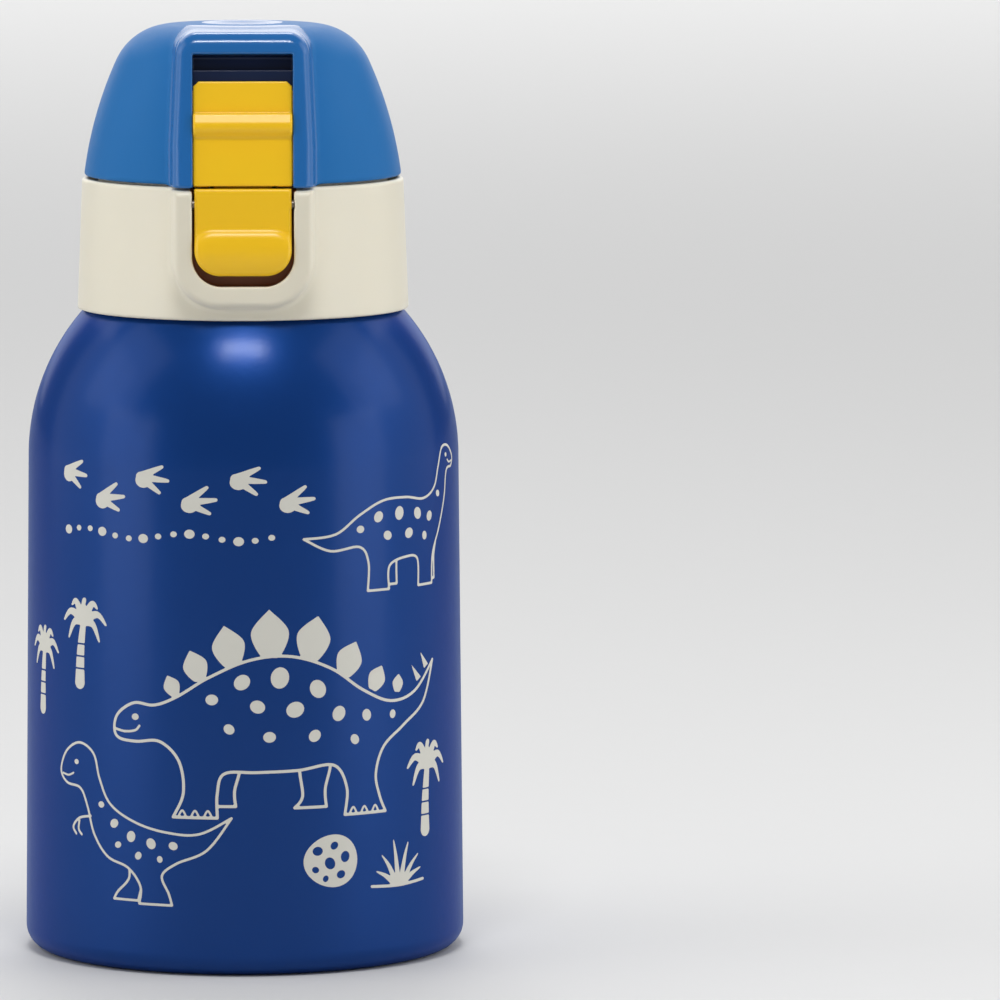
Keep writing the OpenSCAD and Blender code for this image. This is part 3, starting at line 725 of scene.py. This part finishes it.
def lid_field(x, y, z):
    """Dome with the slider's raised frame, the catch and the hinge knuckles."""
    rho = np.hypot(x, y)
    dome = meet(dome_field(rho, z), LID_EDGE_Z - z, 0.5)
    depth, up = on_slope(y, z)
    # raised frame: a hood with round rails and brow
    hood_top = z - (CROWN_Z - 0.62 + (y + 22) * 0.027)
    sides = np.abs(x) - 12.1 + np.clip(z - LID_Z - 6, 0, None) * 0.045
    outline = meet(hood_top, sides, 3.6)
    hood = meet(-depth, outline, 2.2)
    hood = meet(hood, np.maximum(BEZEL_FOOT_Z - z, y + 9), 0.35)
    d = add(dome, hood, 1.3)
    # knuckles and their arms
    barrel = from_hinge(y, z) - 4.8
    arm = rect(y, z, 18, HINGE_Y, HINGE_Z - 4.8, HINGE_Z + 4.8)
    knuckle = meet(np.minimum(barrel, arm), slab(np.abs(x), 7.6, 13.65), 0.6)
    d = add(d, knuckle, 0.5)
    # hollow inside
    inner = meet(dome_field(rho, z) + 1.8, -1, 0.1)
    d = cut(d, inner, 0.3)
    d = cut(d, np.maximum(rho - 25.4, z - LID_Z - 0.5), 0.2)
    # dish in the crown
    dish = np.hypot(rho, z - CROWN_Z - 34.6) - 35.2
    d = np.maximum(cut(d, dish, 0.2), z - box_mm("lid_shell")[1][2] + 0.02)
    # window, deeper at its top
    window = meet(np.abs(x) - WINDOW_X, meet(depth - 2.3, up - 23.1, 0.15), 0.15)
    deep = np.maximum(np.abs(x) - WINDOW_X, np.maximum(depth - 3.4, slab(up, 20.7, 23.1)))
    d = cut(d, np.minimum(window, deep), 0.25)
    d = np.maximum(d, -np.maximum(np.abs(x) - 9.5, np.maximum(slab(depth, 1.0, 2.3), up - 23.0)))
    # hook notch and catch bar
    notch = np.maximum(np.abs(x) - 5.8, np.maximum(slab(y, -32, -24), z - LID_Z - 4.1))
    d = cut(d, notch, 0.25)
    bar = meet(meet(np.abs(x) - 8, slab(y, -25, -22.6), 0.2), slab(z, LID_Z + 0.2, LID_Z + 1.5), 0.2)
    d = add(d, bar, 0.15)
    # room for the hinge block, with the stop rib over it
    gap_top = HINGE_Z + 4.7
    gap = meet(np.abs(x) - 7.55, np.maximum(20 - y, z - gap_top), 0.2)
    d = cut(d, gap, 0.25)
    rib_2d = meet(slab(y, 24.2, 25.3), slab(z, gap_top - 0.3, gap_top + 0.8), 0.15)
    d = add(d, meet(np.abs(x) - 3.2, rib_2d, 0.15), 0.15)
    # pin bore, spring pockets and the step that shows the coils
    bore = np.maximum(from_hinge(y, z) - HINGE_BORE_R, np.abs(x) - 12.85)
    pocket = np.maximum(from_hinge(y, z) - 3.5, np.abs(x) - 10.1)
    step = np.maximum(np.abs(x) - 8.7, rect(y, z, HINGE_Y - 1, HINGE_Y + 6, HINGE_Z - 6, HINGE_Z - 1))
    return cut(d, np.minimum(np.minimum(bore, pocket), step), 0.15)


def lid_finish_and_painted_shade(x, y, z):
    """0 on the satin dome, 1 on the polished frame and knuckles, 2 in the slider's recess, which is painted
    shade.
    """
    depth, up = on_slope(y, z)
    rho = np.hypot(x, y)
    # The slider's recess is given the painted shade colour.
    recess = (np.abs(x) < 9.6) & (depth > 0.9) & (depth < 3.6) & (up < 23.2) & (up > -2) & (y < -12)
    off_dome = dome_field(rho, z) > 0.25
    frame_part = (np.abs(x) < 12.8) & (y < -9) & off_dome
    hinge_part = (y > 24.5) & (np.abs(x) < 14) & (z < HINGE_Z + 5.2) & off_dome
    dish = (rho < 7.0) & (z > CROWN_Z - 1)
    return np.where(recess, 2, (frame_part | hinge_part | dish).astype(int))


def lid():
    reach = 27.5
    low, high = (-reach, BEZEL_FOOT_Y - 0.1, BEZEL_FOOT_Z), (reach, HINGE_Y + 4.9, CROWN_Z)
    # The third material paints shade into the slider's recess.
    skin("lid_dome", lid_field, low, high, 0.3, "lid", "lid_shell", "lid_plastic", [DOME, GLOSS, RECESS_PAINTED_SHADE],
         lid_finish_and_painted_shade)


def lid_liner_field(x, y, z):
    """Inner cover with the cup that holds the seal."""
    rho = np.hypot(x, y)
    across = y * math.cos(RIM_SLOPE) - (z - RIM_Z) * math.sin(RIM_SLOPE)
    up = y * math.sin(RIM_SLOPE) + (z - RIM_Z) * math.cos(RIM_SLOPE)
    tilted = np.hypot(x, across)
    cup = meet(tilted - 14.2, slab(up, 0.5, 4.5), 0.4)
    neck = meet(rho - 10, slab(z, RIM_Z + 3, RIM_Z + 11), 0.2)
    plate = meet(rho - 16, slab(z, CROWN_Z - 3.4, CROWN_Z), 0.4)
    d = add(add(cup, neck, 0.8), plate, 0.8)
    d = cut(d, meet(tilted - 12.8, up - 2.35, 0.2), 0.3)
    return np.maximum(d, dome_field(rho, z) + 1.85)


def lid_inside():
    skin("lid_inner_cover", lid_liner_field, (-16, -16, RIM_Z - 2.6), (16, 16, CROWN_Z - 1.7), 0.35,
         "lid", "lid_liner", "liner_plastic", [LINER])
    seal = rounded([(0, -0.7, 0), (8.8, -0.7), (8.8, 0.25), (12.6, 0.25), (12.6, 2.25), (0, 2.25, 0)], 0.35)

    def tilt(p):
        y, z = p[:, 1], p[:, 2]
        c, s = math.cos(RIM_SLOPE), math.sin(RIM_SLOPE)
        return np.stack([p[:, 0], y * c + z * s, RIM_Z - y * s + z * c], axis=1)

    lathe("spout_stopper", seal, "lid", "lid_seal", "silicone", SILICONE, 128, tilt)


# ---- lock slider

def slider_field(x, y, z):
    """Locking slider with a finger rib, bevelled top corners and side tongues."""
    depth, up = on_slope(y, z)
    half, top, ledge = 8.4, 18.5, 12.8
    front = rect(x, up, -half, half, 0.45, top, 0.3)
    front = np.maximum(front, (np.abs(x) + up - half - top + 0.9) * 0.707)
    face = 0.5 + np.clip(up - ledge, 0, None) * 0.03 - depth
    # rib: a ledge on its upper side, a face that leans out, and a round nose over an undercut
    lean = (-0.45 - (ledge - up) * 0.30 - depth) * 0.958
    under = -0.625 * (depth + 1.25) - 0.781 * (up - 10.1)
    rib = meet(meet(lean, under, 1.0), up - ledge, 0.3)
    skin_field = add(face, np.maximum(rib, depth - 1.5), 0.35)
    plate = meet(meet(front, skin_field, 0.3), depth - 2.1, 0.2)
    tongues = meet(meet(np.abs(x) - 9.3, slab(depth, 1.2, 2.1), 0.15), slab(up, 1, 17), 0.2)
    d = np.minimum(plate, tongues)
    relief = np.maximum(np.abs(x) - 5.8, np.maximum(1 - depth, up - 5))
    return cut(d, relief, 0.15)


def slider():
    low, high = box_mm("lock_slider")
    skin("lock_slide", slider_field, low, high, 0.2, "lock", "lock_slider", "yellow_plastic", [YELLOW])


# ---- print on the front

def curve(points, closed=False, n=8):
    """Smooth line through points (u, v); a point (u, v, 0) makes a corner."""
    pts = [np.array(q[:2], float) for q in points for _ in range(len(q) - 1)]
    count = len(pts)
    out = []
    for i in range(count if closed else count - 1):
        p0 = pts[i - 1] if closed or i else pts[0]
        p1, p2 = pts[i], pts[(i + 1) % count]
        p3 = pts[(i + 2) % count] if closed or i + 2 < count else p2
        if np.allclose(p1, p2):
            continue
        for t in np.arange(n) / n:
            out.append(0.5 * (2 * p1 + (p2 - p0) * t + (2 * p0 - 5 * p1 + 4 * p2 - p3) * t ** 2
                              + (3 * p1 - p0 - 3 * p2 + p3) * t ** 3))
    if not closed:
        out.append(pts[-1])
    return np.array(out)


class Artwork:
    """Flat ink field on the unrolled front: negative where there is ink. Lengths in mm."""

    STEP = 0.2

    def __init__(self, low, high):
        self.u = np.arange(low[0], high[0], self.STEP)
        self.v = np.arange(low[1], high[1], self.STEP)
        self.field = np.full((len(self.u), len(self.v)), 9.0)

    def window(self, points, margin):
        """Part of the grid round some points, with its coordinates."""
        low, high = np.min(points, axis=0) - margin, np.max(points, axis=0) + margin
        i = slice(*np.searchsorted(self.u, (low[0], high[0])))
        j = slice(*np.searchsorted(self.v, (low[1], high[1])))
        return (i, j), np.meshgrid(self.u[i], self.v[j], indexing="ij")

    @staticmethod
    def distances(points, grid, closed):
        """Distance to a line, the share of its length at the nearest point, and what is inside."""
        u, v = grid
        best, share = np.full(u.shape, 1e9), np.zeros(u.shape)
        within = np.zeros(u.shape, bool)
        ends = np.roll(points, -1, axis=0) if closed else points[1:]
        for k, (a, b) in enumerate(zip(points, ends)):
            d = b - a
            t = np.clip(((u - a[0]) * d[0] + (v - a[1]) * d[1]) / max(d @ d, 1e-9), 0, 1)
            gap = np.hypot(u - a[0] - t * d[0], v - a[1] - t * d[1])
            share = np.where(gap < best, (k + t) / len(ends), share)
            best = np.minimum(best, gap)
            if closed and a[1] != b[1]:
                crossing = ((a[1] > v) != (b[1] > v)) & (u < a[0] + (v - a[1]) * d[0] / (b[1] - a[1]))
                within ^= crossing
        return best, share, within

    def ink(self, where, d):
        self.field[where] = np.minimum(self.field[where], d)

    def stroke(self, points, w=0.5, closed=False, taper=0.0):
        """Line of width w, narrowing by taper of its width towards its end."""
        points = np.array(points, float)
        where, grid = self.window(points, w + 1)
        gap, share, _ = self.distances(points, grid, closed)
        self.ink(where, gap - w / 2 * (1 - taper * share))

    def fill(self, points, clear=False):
        """Filled outline, or a clear one."""
        points = np.array(points, float)
        where, grid = self.window(points, 1.5)
        gap, _, within = self.distances(points, grid, True)
        d = np.where(within, -gap, gap)
        if clear:
            self.field[where] = np.maximum(self.field[where], -d)
        else:
            self.ink(where, d)

    def figure(self, points, w=0.5):
        """Outlined shape that hides what is behind it."""
        outline = curve(points, True)
        self.fill(outline, clear=True)
        self.stroke(outline, w, closed=True)

    def spots(self, spots, clear=False):
        """Slightly oval dots, each (u, v, radius)."""
        a = np.radians(np.arange(0, 360, 15))
        for n, (u, v, r) in enumerate(spots):
            lean = 0.7 * n
            oval = np.stack([r * 1.08 * np.cos(a), r * 0.92 * np.sin(a)], axis=1)
            turn = np.array([[math.cos(lean), math.sin(lean)], [-math.sin(lean), math.cos(lean)]])
            self.fill(oval @ turn + (u, v), clear)

    def mesh(self, place):
        """Closed thin solid of the ink: place(points, lift) puts flat points on the bottle."""
        f = self.field
        index = {}
        points = []

        def corner(i, j):
            key = (i, j)
            if key not in index:
                index[key] = len(points)
                points.append((self.u[i], self.v[j]))
            return index[key]

        def crossing(i, j, k, m):
            key = (min((i, j), (k, m)), max((i, j), (k, m)))
            if key not in index:
                (i, j), (k, m) = key
                t = np.clip(f[i, j] / (f[i, j] - f[k, m]), 0.08, 0.92)
                index[key] = len(points)
                points.append((self.u[i] + t * (self.u[k] - self.u[i]),
                               self.v[j] + t * (self.v[m] - self.v[j])))
            return index[key]

        inside = f < 0
        some = (inside[:-1, :-1].astype(int) + inside[1:, :-1] + inside[:-1, 1:] + inside[1:, 1:]) > 0
        tops, rims = [], []
        for i, j in np.argwhere(some):
            ring = [(i, j), (i + 1, j), (i + 1, j + 1), (i, j + 1)]
            loop = []
            for n, (a, b) in enumerate(ring):
                c, d = ring[(n + 1) % 4]
                if inside[a, b]:
                    loop.append((corner(a, b), False))
                if inside[a, b] != inside[c, d]:
                    loop.append((crossing(a, b, c, d), bool(inside[a, b])))
            tops.append([v for v, _ in loop])
            for n, (v, leaves) in enumerate(loop):
                if leaves:
                    rims.append((v, loop[(n + 1) % len(loop)][0]))
        count = len(points)
        flat = np.array(points)
        faces = tops + [[v + count for v in face[::-1]] for face in tops]
        faces += [[b, a, a + count, b + count] for a, b in rims]
        return np.concatenate([place(flat, 0.035), place(flat, -0.06)]), faces


def body_radius(z):
    """Outside radius of the bottle's wall and shoulder."""
    wall = FOOT_R - (z - FOOT_ROUND) * math.tan(TAPER)
    above = np.clip(SHOULDER_R ** 2 - (z - SHOULDER_C[1]) ** 2, 0, None)
    return np.where(z > SHOULDER_Z, SHOULDER_C[0] + np.sqrt(above), wall)


def on_bottle(flat, lift):
    """Unrolled (along, height) points wrapped on the front of the body."""
    angle = flat[:, 0] / WALL_TOP_R
    r = body_radius(flat[:, 1]) + lift
    return np.stack([r * np.sin(angle), -r * np.cos(angle), flat[:, 1]], axis=1)


def turned(points, u, v, degrees):
    """Points turned about the origin and moved to (u, v)."""
    c, s = math.cos(math.radians(degrees)), math.sin(math.radians(degrees))
    return [(u + a * c - b * s, v + a * s + b * c) for a, b in points]


def plated_dinosaur(art):
    """Large four-legged dinosaur with filled plates along its back."""
    for u, v in ((-2.5, 1.0), (13.0, 0.6)):
        art.figure([(u - 3.4, 36.5), (u - 3.2, 31.0), (u - 4.6, 28.4 + v, 0), (u + 1.0, 28.4 + v, 0),
                    (u + 0.8, 32.0), (u + 1.6, 37.0)])
    art.figure([(-23.4, 42.0), (-22.6, 44.6), (-19.4, 46.6), (-15.6, 46.4), (-11.5, 48.0), (-6.0, 51.4),
                (1.0, 54.4), (8.0, 54.9), (15.0, 52.6), (21.0, 48.6), (27.0, 46.2), (33.0, 47.4),
                (38.4, 52.2, 0), (35.4, 45.4), (30.0, 41.8), (25.4, 38.6), (23.6, 34.0), (24.4, 30.0),
                (25.6, 27.4, 0), (17.4, 27.4, 0), (17.8, 32.0), (15.4, 36.0), (9.0, 35.4), (2.0, 35.2),
                (-3.4, 35.0), (-4.6, 31.6), (-4.6, 27.4, 0), (-12.2, 27.4, 0), (-10.4, 31.6),
                (-11.2, 37.0), (-14.6, 40.2), (-19.0, 40.0), (-22.4, 40.4)])
    plates = [(-12.2, 49.2, 2.6, 24), (-8.0, 52.4, 3.8, 20), (-2.4, 55.4, 5.0, 12), (4.4, 57.2, 5.8, 2),
              (11.6, 56.4, 5.4, -12), (18.0, 52.9, 4.4, -24), (23.6, 49.6, 3.2, -28),
              (28.6, 48.5, 2.2, -8)]
    for u, v, h, lean in plates:
        leaf = curve([(0, h, 0), (0.55 * h, 0.35 * h), (0.3 * h, -0.35 * h), (0, -0.42 * h),
                      (-0.3 * h, -0.35 * h), (-0.55 * h, 0.35 * h)], True)
        art.fill(turned(leaf, u, v, lean))
    art.spots([(-5.5, 47.6, 1.0), (-0.4, 50.6, 1.35), (6.0, 51.3, 1.7), (12.6, 49.2, 1.5),
               (2.2, 46.4, 1.2), (8.6, 45.8, 1.45), (16.4, 44.8, 1.25), (21.8, 44.2, 0.95),
               (-2.6, 42.6, 0.9), (4.2, 41.2, 1.0), (12.0, 41.2, 1.05), (27.4, 43.9, 0.7),
               (19.4, 40.2, 0.85)])
    art.spots([(-19.2, 44.2, 0.62)])
    art.stroke(curve([(-23.0, 41.9), (-21.2, 41.6), (-19.2, 41.9), (-18.4, 42.7)]), 0.42)
    for u in (-10.6, -8.4, -6.2, 19.0, 21.2, 23.4):
        art.stroke(curve([(u - 0.7, 27.5), (u, 28.6), (u + 0.7, 27.5)]), 0.35)
    for u, v, lean in ((34.2, 48.9, 0.9), (36.4, 50.9, 0.6)):
        art.fill([(u - 0.7, v), (u - lean - 1.2, v + 3.0), (u + 0.5, v + 0.7)])


def long_neck_dinosaur(art):
    """Long-necked dinosaur that looks right, with spots on its back."""
    for u in (28.0, 38.6):
        art.figure([(u - 3.0, 73.0), (u - 2.6, 69.0), (u - 3.0, 66.2, 0), (u + 0.6, 66.2, 0),
                    (u + 0.6, 70.0), (u + 1.2, 73.6)], 0.42)
    art.figure([(48.0, 86.4), (45.6, 88.4), (42.8, 88.2), (41.2, 85.2), (39.6, 81.8), (36.0, 80.2),
                (31.0, 80.8), (25.6, 80.6), (20.6, 78.4), (16.0, 75.4), (10.2, 74.8, 0), (15.0, 72.6),
                (20.6, 73.0), (22.4, 70.2), (22.2, 65.4, 0), (26.8, 65.4, 0), (27.0, 69.4),
                (31.0, 70.6), (34.0, 70.0), (34.2, 65.4, 0), (38.4, 65.4, 0), (38.8, 70.4),
                (41.2, 74.6), (43.6, 79.6), (44.8, 84.2), (47.4, 84.8)], 0.42)
    art.spots([(20.8, 76.0, 0.7), (24.6, 77.9, 0.95), (29.4, 78.2, 1.1), (34.2, 77.8, 1.0),
               (26.6, 74.6, 0.85), (31.8, 74.6, 0.95), (37.8, 77.0, 0.85), (36.2, 73.8, 0.7),
               (40.9, 80.6, 0.6)])
    art.spots([(44.6, 86.9, 0.42)])
    art.stroke(curve([(47.6, 85.6), (46.2, 85.5), (45.3, 86.0)]), 0.32)


def small_dinosaur(art):
    """Small two-legged dinosaur with a double row of dots."""
    art.figure([(-20.0, 20.0), (-20.4, 16.4), (-22.6, 14.0), (-23.4, 12.7, 0), (-18.6, 12.7, 0),
                (-17.6, 16.0), (-15.6, 20.0)], 0.42)
    art.figure([(-36.6, 33.6), (-35.0, 37.0), (-31.4, 38.8), (-28.0, 37.2), (-26.6, 33.0),
                (-24.2, 28.8), (-19.0, 26.0), (-13.0, 24.6), (-7.6, 24.6), (-2.2, 27.4, 0),
                (-6.4, 21.8), (-11.6, 19.4), (-14.2, 17.2), (-13.0, 14.2), (-12.4, 12.2, 0),
                (-18.4, 12.2, 0), (-18.2, 15.2), (-20.6, 18.2), (-24.8, 19.8), (-27.8, 23.4),
                (-29.4, 28.0), (-31.2, 31.0), (-34.8, 31.6)], 0.42)
    art.stroke(curve([(-28.6, 26.4), (-31.4, 25.8), (-33.0, 24.2), (-32.2, 23.0)]), 0.42)
    art.stroke(curve([(-31.4, 25.4), (-31.6, 23.9), (-30.8, 23.0)]), 0.42)
    art.spots([(-26.2, 28.6, 0.6), (-23.4, 25.6, 0.8), (-20.0, 23.6, 0.9), (-16.2, 22.6, 0.9),
               (-12.2, 22.4, 0.75), (-22.6, 22.0, 0.6), (-18.6, 20.4, 0.65), (-14.6, 20.0, 0.55)])
    art.spots([(-32.2, 35.4, 0.5)])
    art.stroke(curve([(-36.0, 33.1), (-34.4, 32.9), (-33.0, 33.4)]), 0.34)


def palm(art, u, v, h, lean):
    """Filled palm tree with a ringed trunk."""
    top = (u + lean, v + h)
    trunk = curve([(u, v), (u + 0.2 * lean, v + 0.5 * h), top])
    art.stroke(trunk, 0.23 * h, taper=0.5)
    for t in (0.22, 0.42, 0.62):
        low, high = v + t * h - 0.14, v + t * h + 0.16
        left, right = u - 2, u + lean + 2
        art.fill([(left, low), (right, low), (right, high), (left, high)], clear=True)
    leaves = ((168, 0.5), (128, 0.46), (86, 0.40), (48, 0.46), (10, 0.5), (205, 0.40), (-28, 0.40))
    for angle, reach in leaves:
        a = math.radians(angle)
        mid = (top[0] + 0.62 * reach * h * math.cos(a), top[1] + 0.62 * reach * h * math.sin(a) + 0.07 * h)
        tip = (top[0] + reach * h * math.cos(a), top[1] + reach * h * math.sin(a) - 0.12 * h)
        art.stroke(curve([top, mid, tip]), 0.18 * h, taper=0.8)


def footprint(art, u, v, size, lean):
    """Filled three-toed footprint."""
    for angle, reach in ((-34, 0.86), (0, 1.0), (34, 0.86)):
        a = math.radians(angle)
        tip = (reach * size * math.sin(a), reach * size * math.cos(a))
        toe = turned([(0, -0.12 * size), tip], u, v, lean)
        art.stroke(curve(toe), 0.36 * size, taper=0.65)
    art.spots([(u, v - 0.12 * size, 0.3 * size)])


def print_front():
    """Warm white screen print round the front of the body, with no lettering."""
    art = Artwork((-54, 10), (54, 92))
    plated_dinosaur(art)
    long_neck_dinosaur(art)
    small_dinosaur(art)
    for tree in ((-31.4, 49.2, 10.6, 0.9), (-43.4, 43.6, 10.4, 0.6), (35.6, 23.2, 11.2, 0.8)):
        palm(art, *tree)
    for n in range(6):
        footprint(art, -34.5 + 8.4 * n, 81.2 if n % 2 else 85.2, 4.6, -84 if n % 2 else -96)
    for n in range(15):
        art.spots([(-34.5 + 2.8 * n, 75.2 + 0.6 * math.sin(0.9 * n), 0.55 if n % 3 else 0.85)])
    egg = np.radians(np.arange(0, 360, 8))
    width, height = 4.9 * np.cos(egg), (4.5 + 0.5 * np.cos(egg)) * np.sin(egg)
    art.fill(np.stack([14.8 + width, 19.6 + height], axis=1))
    art.spots([(12.4, 21.4, 0.85), (15.4, 22.2, 0.7), (17.4, 20.2, 0.9), (14.6, 19.2, 1.0),
               (12.0, 18.2, 0.6), (16.6, 17.2, 0.75), (13.8, 16.6, 0.55)], clear=True)
    for angle, reach in ((150, 4.2), (122, 5.6), (98, 7.2), (74, 6.8), (48, 5.6), (24, 4.4)):
        a = math.radians(angle)
        u, v = 28.6 + 1.6 * math.cos(a), 15.0
        art.stroke(curve([(u, v), (u + 0.5 * reach * math.cos(a), v + 0.6 * reach * math.sin(a)),
                          (u + reach * math.cos(a), v + reach * math.sin(a))]), 1.25, taper=0.85)
    art.stroke(curve([(22.6, 14.6), (28.6, 14.3), (34.8, 14.7)]), 0.5)
    points, faces = art.mesh(on_bottle)
    make_object("front_print", points, faces, "bottle", "outer_shell", "body_paint", [INK], smooth=False)


# ---- stage, light and camera

def area_light(name, place, look_at, size, power):
    """Rectangular softbox aimed at a point."""
    data = bpy.data.lights.new(name, "AREA")
    data.shape = "RECTANGLE"
    data.size, data.size_y = size
    data.energy = power
    obj = bpy.data.objects.new(name, data)
    obj.location = place
    obj.visible_camera = False
    aim(obj, np.array(look_at) - np.array(place))
    bpy.context.scene.collection.objects.link(obj)


def aim(obj, direction):
    """Points an object's -Z along a direction, level with the horizon."""
    flat = math.hypot(direction[0], direction[1])
    obj.rotation_euler = (math.pi / 2 + math.atan2(direction[2], flat), 0,
                          math.atan2(direction[1], direction[0]) - math.pi / 2)


def floor():
    half = 8.0
    mesh = bpy.data.meshes.new("floor")
    corners = [(-half, -half, 0), (half, -half, 0), (half, half, 0), (-half, half, 0)]
    mesh.from_pydata(corners, [], [(0, 1, 2, 3)])
    obj = bpy.data.objects.new("floor", mesh)
    paper = surface("studio_floor", (0.66, 0.66, 0.66), 0.7, 0.02, 0.004, 4.0, 0.0, specular=0.2)
    mesh.materials.append(paper)
    bpy.context.scene.collection.objects.link(obj)


def studio():
    floor()
    world = bpy.data.worlds.new("studio")
    world.use_nodes = True
    background = world.node_tree.nodes["Background"]
    background.inputs["Color"].default_value = (1, 1, 1, 1)
    background.inputs["Strength"].default_value = 0.22
    bpy.context.scene.world = world
    middle = (0, 0, 0.09)
    area_light("front_top_softbox", (0.0, -0.54, 1.08), middle, (0.40, 0.16), 5.2)
    area_light("back_top_softbox", (0.0, 0.75, 1.0), middle, (0.40, 0.25), 2.0)
    for side, name in ((-1, "left"), (1, "right")):
        area_light(name + "_softbox", (side * 1.0, -0.1, 0.8), middle, (0.8, 0.8), 2.4)
        area_light(name + "_strip", (side * 0.5, 0.08, 0.24), middle, (0.45, 0.45), 0.45)
        area_light(name + "_front_fill", (side * 0.5, -0.25, 0.14), middle, (0.3, 0.3), 0.50)
    area_light("overhead", (0.0, 3.4, 2.4), (0, 3.39, 0), (6.0, 4.0), 105)
    area_light("back_panel", (0.0, 4.2, 1.0), (0, 0, 1.0), (5.0, 1.6), 30)


def camera():
    """Long lens a little above the bottle, turned so that the bottle stands left of centre."""
    data = bpy.data.cameras.new("camera")
    data.lens = 328
    data.sensor_width = 36
    data.clip_end = 30
    obj = bpy.data.objects.new("camera", data)
    obj.location = (0, -1.57, 0.248)
    pitch, yaw = math.radians(6.195), math.radians(1.620)
    obj.rotation_euler = (math.pi / 2 - pitch, 0, -yaw)
    bpy.context.scene.collection.objects.link(obj)
    bpy.context.scene.camera = obj


outer_body()
print_front()
foot_plate()
liner()
collar()
core()
spout()
cap_seals()
springs()
button()
lid()
lid_inside()
slider()
for node, mat in (("liner_foil", FOIL), ("getter_pill", PILL), ("button_pin", PIN), ("hinge_pin", WIRE),
                  ("lock_detent", WIRE)):
    mesh = frame["nodes"][node].data
    mesh.materials.clear()
    mesh.materials.append(mat)
studio()
camera()
bpy.context.scene.view_settings.view_transform = "Standard"
